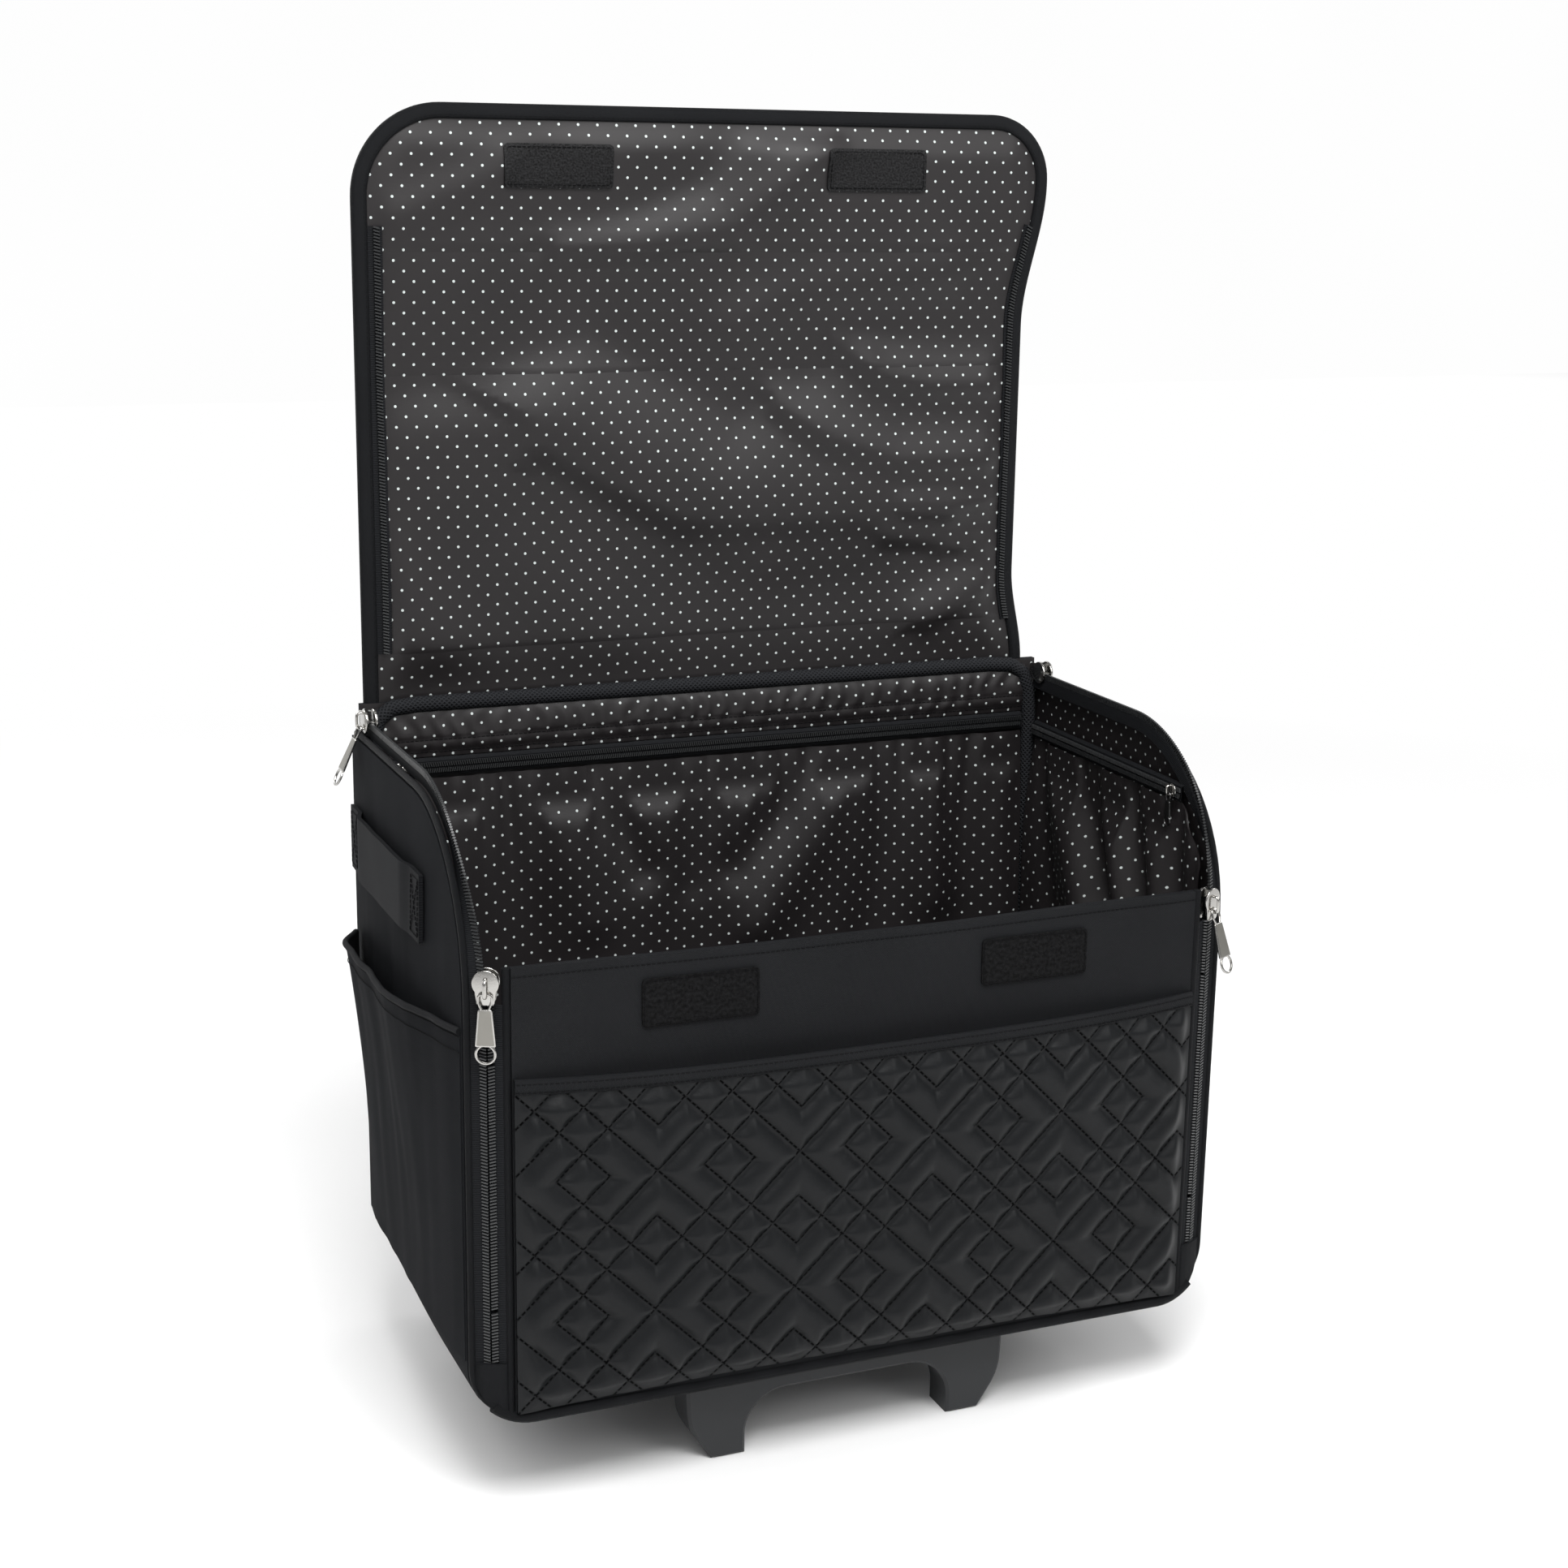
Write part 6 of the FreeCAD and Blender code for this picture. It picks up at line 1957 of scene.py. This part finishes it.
LARGE = SliderKind(
    wide=0.0165, neck=0.011, run=0.022, gap=0.0046, wing=0.0018, bridge=0.0025, bridge_run=0.013, eye=0.003, bar=0.002,
    pull_run=0.044, pull_wide=0.013, pull_head=0.01, pull_thick=0.0016, pull_eye=0.009, pull_rail=0.0019,
)
SMALL = SliderKind(
    wide=0.0096, neck=0.007, run=0.013, gap=0.0026, wing=0.0012, bridge=0.0016, bridge_run=0.008, eye=0.0022,
    bar=0.0014, pull_run=0.024, pull_wide=0.008, pull_head=0.0064, pull_thick=0.0012, pull_eye=0.0056, pull_rail=0.0013,
)


@dataclass(frozen=True)
class Runner:
    """Where one slider with its pull sits, and how it is turned."""

    word: str
    kind: SliderKind
    spot: Spot
    turn: float = 0.0
    lean: float = 0.0
    crosswise: bool = True
    open_end: int = 1


def runners() -> list[Runner]:
    """Return all six sliders' places."""
    places = []
    for side in Side:
        sign = side.value
        lean = math.radians(18) if side is Side.RIGHT else 0.0
        spot = (sign * CASE.front_zip_x, CASE.zip_y - CASE.zip_radius, 0.35)
        places.append(Runner("front_" + side.word, LARGE, spot, sign * CASE.band, lean, crosswise=False))
        spot = (sign * CASE.top_zip_x, 0.1161, CASE.zip_top)
        places.append(Runner("rear_" + side.word, LARGE, spot, sign * QUARTER, math.radians(25), open_end=-sign))
    places.append(Runner("rear_pocket", SMALL, (-0.233, 0.126, 0.42), open_end=-1))
    places.append(Runner("right_pocket", SMALL, (0.2539, -0.0819, 0.4146), -QUARTER))
    return places


@dataclass
class ZipHardware:
    """Sliders and pulls of all the zips."""

    wear: Wardrobe
    bevel: float = 0.0005
    post: float = 0.0004
    post_run: float = 0.005
    post_inset: float = 0.0025
    sunk: float = 0.0004
    face_rise: float = 0.00012
    face_round: float = 0.0006
    play: float = 0.0003

    def outline(self, kind: SliderKind) -> list[tuple[float, float]]:
        """Return the outline of a slider's plates, narrow below and round above."""
        neck, wide, run = kind.neck / 2, kind.wide / 2, kind.run / 2
        corners = [(-neck * 0.8, -run), (neck * 0.8, -run), (neck, -run * 0.86)]
        for step in range(25):
            angle = math.radians(-38 + 256 * step / 24)
            corners.append((wide * math.cos(angle), run - wide + wide * math.sin(angle)))
        return corners + [(-neck, -run * 0.86)]

    def slider(self, kind: SliderKind, crosswise: bool, open_end: int) -> Piece:
        """Make a slider that faces -Y at the origin, with its bridge along Z.

        Args:
            kind: Its sizes.
            crosswise: Whether its zip runs along X.
            open_end: Which end of it is wide.

        Returns:
            The slider.
        """
        outline = self.outline(kind)
        if crosswise:
            outline = [(open_end * z, -open_end * x) for x, z in outline]
        inner, outer = kind.gap / 2, kind.gap / 2 + kind.wing
        parts = [plate("wing", outline, low, low + kind.wing, self.bevel) for low in (-outer, inner)]
        post = primitive("cube", size=1)
        along = kind.run / 2 - kind.wing - self.post_inset
        size, spot = (self.post, kind.gap, self.post_run), (0, 0, along)
        if crosswise:
            size, spot = size[::-1], (open_end * along, 0, 0)
        bpy.ops.transform.resize(value=size)
        bpy.ops.transform.translate(value=spot)
        parts += [fixed(post), self.arch(kind, outer)]
        return soften(joined("slider", parts), 40)

    def arch(self, kind: SliderKind, outer: float) -> Piece:
        """Make the bridge that holds a slider's pull, on a plate's outer face."""
        half, rise = kind.bridge_run / 2 - kind.bar / 2, kind.eye + kind.bar / 2
        path = [Vector((0, -outer + self.sunk, -half))]
        for step in range(13):
            angle = math.pi * step / 12
            spread = math.copysign(abs(math.cos(angle)) ** 0.45, math.cos(angle))
            lift = abs(math.sin(angle)) ** 0.55
            path.append(Vector((0, -outer - rise * lift, -spread * half)))
        path.append(Vector((0, -outer + self.sunk, half)))
        arch = tube("arch", path, kind.bar / 2, step=0.0008, sides=10)
        focus(arch)
        bpy.ops.transform.resize(value=(kind.bridge / kind.bar, 1, 1), center_override=(0, 0, 0))
        return fixed(arch)

    def pull(self, kind: SliderKind) -> Piece:
        """Make a pull that hangs along -Z from its pivot at the origin, with a matt face in a bright rim."""
        head, wide, run = kind.pull_head / 2, kind.pull_wide / 2, kind.pull_run
        thick, rail = kind.pull_thick / 2, kind.pull_rail
        neck, edge, rim, inset = head * 0.86, wide * 0.97, rail * 0.95, rail * 0.5
        top, low = -thick - kind.pull_eye + 0.0005, -run + 1.72 * wide
        eye = [Vector((neck * 0.55, 0, top)), Vector((head - rail / 2, 0, top * 0.55)),
               Vector((head - rail / 2, 0, -thick)), Vector((head * 0.45, 0, 0))]
        eye += [Vector((-spot.x, 0, spot.z)) for spot in eye[::-1]]
        loop = tube("ring", eye, thick * 0.98, step=0.0012, sides=10)
        corners = [(-edge, low, 0.001), (edge, low, 0.001), (neck, top, 0.0014), (-neck, top, 0.0014)]
        body = plate("body", round_outline(corners), -thick, thick, 0.0004)
        edge, neck, low, top = edge - inset, neck - inset, low + inset, top - inset
        corners = [(*corner, self.face_round) for corner in ((-edge, low), (edge, low), (neck, top), (-neck, top))]
        face = plate("face", round_outline(corners, 3), -thick - self.face_rise, thick + self.face_rise, 0.0)
        turns = [TURN * step / 40 for step in range(41)]
        reach = wide * 1.03 - rim / 2
        hoop = [Vector((reach * math.sin(turn), 0, wide - run + reach * math.cos(turn))) for turn in turns]
        ring = tube("end_ring", hoop, rim / 2, step=0.0009, sides=10)
        focus(ring)
        bpy.ops.transform.resize(value=(1, 2 * thick / rim, 1), center_override=(0, 0, 0))
        fixed(ring)
        for piece in (ring, loop, body):
            paint(piece, self.wear.nickel)
        paint(face, self.wear.pewter)
        return soften(joined("pull", [body, loop, ring, face]), 35)

    def build(self) -> None:
        """Make all six sliders and pulls and seat them on their bodies."""
        for runner in runners():
            word, kind = runner.word, runner.kind
            place = Matrix.Translation(runner.spot) @ Matrix.Rotation(runner.turn, 4, "Z")
            out = kind.gap / 2 + kind.wing + kind.eye / 2
            drop = kind.bar - kind.bridge_run / 2 + kind.pull_thick / 2 + self.play
            pivot = place @ Matrix.Translation((0, -out, drop)) @ Matrix.Rotation(-runner.lean, 4, "X")
            slot = "zip_metal" if kind is LARGE else "small_zip_metal"
            slider = self.slider(kind, runner.crosswise, runner.open_end)
            slider.name = word + "_zip_slider"
            slider.data.transform(place)
            paint(slider, self.wear.nickel)
            settle(slider, word + "_slider", slot, word + "_slider")
            pull = self.pull(kind)
            pull.name = word + "_zip_pull"
            pull.data.transform(pivot)
            if kind is SMALL:
                paint(pull, self.wear.dark_metal, self.wear.dark_metal)
            settle(pull, word + "_pull", slot, word + "_pull")


@dataclass
class HardParts:
    """CAD pieces of plastic, rubber and metal that show as they are."""

    wear: Wardrobe

    def dress(self) -> None:
        """Give each hard CAD node its finish."""
        wear = self.wear
        looks = (
            (wear.plastic, "plastic",
             ("front_foot", "rear_base_bracket", "handle_top_bezel", "left_hub", "right_hub")),
            (wear.grip, "grip_plastic", ("handle_grip",)),
            (wear.button, "button_plastic", ("release_button",)),
            (wear.tyre, "tyre", ("left_tyre", "right_tyre")),
            (wear.tube, "tube", ("handle_outer_tubes", "handle_middle_tubes", "handle_upper_tubes")),
            (wear.steel, "steel", ("wheel_axles", "base_screws")),
        )
        for material, slot, nodes in looks:
            for node in nodes:
                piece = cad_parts[node]
                paint(piece, material)
                LOG.info("%s dressed", node)


@dataclass
class Studio:
    """Floor, lights and camera."""

    spot: Spot = (-0.64, -1.502, 0.831)
    yaw: float = math.radians(-23.04)
    pitch: float = math.radians(14.12)
    roll: float = math.radians(0.91)
    lens: float = 57.2
    sensor: float = 36.0
    sky: float = 0.3
    bright: float = 5.0
    dim: float = 11.0
    aim: Spot = (0.0, 0.0, 0.4)
    lamps: tuple[tuple[str, Spot, float, float], ...] = (
        ("key", (-1.5, -2.3, 2.5), 1.4, 18),
        ("fill", (1.25, -2.4, 2.1), 1.7, 26),
        ("back_rim", (-1.2, 2.0, 2.0), 1.4, 34),
        ("left_side", (-2.6, 0.5, 1.9), 1.4, 10),
        ("right_side", (2.6, 0.3, 1.9), 1.4, 26),
        ("overhead", (-0.3, -1.4, 2.7), 1.3, 84),
    )

    def build(self) -> None:
        """Make the studio round the case."""
        self.floor()
        self.wall()
        for lamp in self.lamps:
            self.light(*lamp)
        world = bpy.data.worlds.new("studio_sky")
        bpy.context.scene.world = world
        world.use_nodes = True
        sky = world.node_tree.nodes["Background"]
        sky.inputs["Color"].default_value = (1.0, 1.0, 1.0, 1)
        sky.inputs["Strength"].default_value = self.sky
        bpy.context.scene.view_settings.view_transform = "Standard"
        self.camera()

    def screen(self, name: str, **settings: object) -> tuple[Piece, Bench, Socket]:
        """Add a plane and return it with its new material and the place on it."""
        piece, bench = primitive("plane", **settings), Bench(name)
        piece.name = name
        return piece, bench, bench.body_place()

    def floor(self) -> None:
        """Lay a pale floor that turns into an even glow far from the case."""
        floor, bench, place = self.screen("studio_floor", size=60, location=(0, 0, 0))
        pale = bench.mix(bench.cloud(place, 2.0, 2.0), (0.8, 0.8, 0.8, 1), (0.84, 0.84, 0.84, 1))
        reach = bench.tree.nodes.new("ShaderNodeVectorMath")
        reach.operation = "LENGTH"
        bench.link(place, reach.inputs[0])
        far = bench.math("MULTIPLY_ADD", reach.outputs["Value"], 0.7, -0.6)
        far.node.use_clamp = True
        bench.set(Base_Color=bench.mix(far, pale, (0.0, 0.0, 0.0, 1)), Roughness=0.9, Specular_IOR_Level=0.0)
        glow = self.fade(bench, place, (2.0, 4.0, 0.0))
        bench.set(Emission_Color=(1.0, 1.0, 1.0, 1), Emission_Strength=bench.math("MULTIPLY", far, glow))
        paint(floor, bench.material)

    def wall(self) -> None:
        """Stand a glowing wall far behind the case."""
        wall, bench, place = self.screen("studio_wall", size=30, location=(2.6, 7, 0), rotation=(QUARTER, 0, 0))
        haze = bench.mix(bench.cloud(place, 1.0, 1.0), (0.98, 0.98, 0.98, 1), (1.0, 1.0, 1.0, 1))
        bench.set(Base_Color=(0.0, 0.0, 0.0, 1), Roughness=0.9, Specular_IOR_Level=0.0, Emission_Color=haze)
        bench.set(Emission_Strength=self.fade(bench, place, (0.0, 0.0, 0.0)))
        paint(wall, bench.material)

    def fade(self, bench: Bench, place: Socket, middle: Spot) -> Socket:
        """Return a brightness that falls from white to the sky's grey with distance.

        Args:
            bench: Material under work.
            place: Place on the object.
            middle: Where it is brightest.

        Returns:
            Socket of the brightness.
        """
        gap = bench.tree.nodes.new("ShaderNodeVectorMath")
        gap.operation = "DISTANCE"
        bench.link(place, gap.inputs[0])
        gap.inputs[1].default_value = middle
        slope = (self.sky - 1.0) / (self.dim - self.bright)
        fall = bench.math("MULTIPLY_ADD", gap.outputs["Value"], slope, 1.0 - slope * self.bright)
        return bench.math("MAXIMUM", bench.math("MINIMUM", fall, 1.0), self.sky)

    def light(self, name: str, spot: Spot, size: float, power: float) -> None:
        """Hang a soft square light that looks at the case.

        Args:
            name: Name of the light.
            spot: Its place.
            size: Length of its sides.
            power: Its power in watts.
        """
        data = bpy.data.lights.new(name, "AREA")
        data.size = size
        data.energy = power
        lamp = bpy.data.objects.new(name, data)
        bpy.context.scene.collection.objects.link(lamp)
        lamp.location = spot
        aim = Vector(self.aim) - Vector(spot)
        lamp.rotation_euler = aim.to_track_quat("-Z", "Y").to_euler()

    def camera(self) -> None:
        """Set the camera at the photograph's place and turn."""
        turn = Matrix.Rotation(self.yaw, 4, "Z") @ Matrix.Rotation(QUARTER - self.pitch, 4, "X")
        data = bpy.data.cameras.new("camera")
        data.lens = self.lens
        data.sensor_width = self.sensor
        eye = bpy.data.objects.new("camera", data)
        bpy.context.scene.collection.objects.link(eye)
        eye.matrix_world = Matrix.Translation(self.spot) @ turn @ Matrix.Rotation(self.roll, 4, "Z")
        bpy.context.scene.camera = eye


def main() -> None:
    """Build every sub-assembly of the case in order, then the studio."""
    logging.basicConfig(level=logging.INFO, format="%(message)s")
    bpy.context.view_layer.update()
    wear = Wardrobe()
    sew = Stitching(wear)
    walls = Walls(wear)
    walls.build()
    FrontPanel(wear, sew).build()
    Lid(wear, sew).build()
    SideZips(wear).build()
    Trim(wear).build()
    InnerPockets(wear, sew).build()
    SideGoods(wear, sew, walls).build()
    ZipHardware(wear).build()
    HardParts(wear).dress()
    Studio().build()


if __name__ == "__main__":
    main()
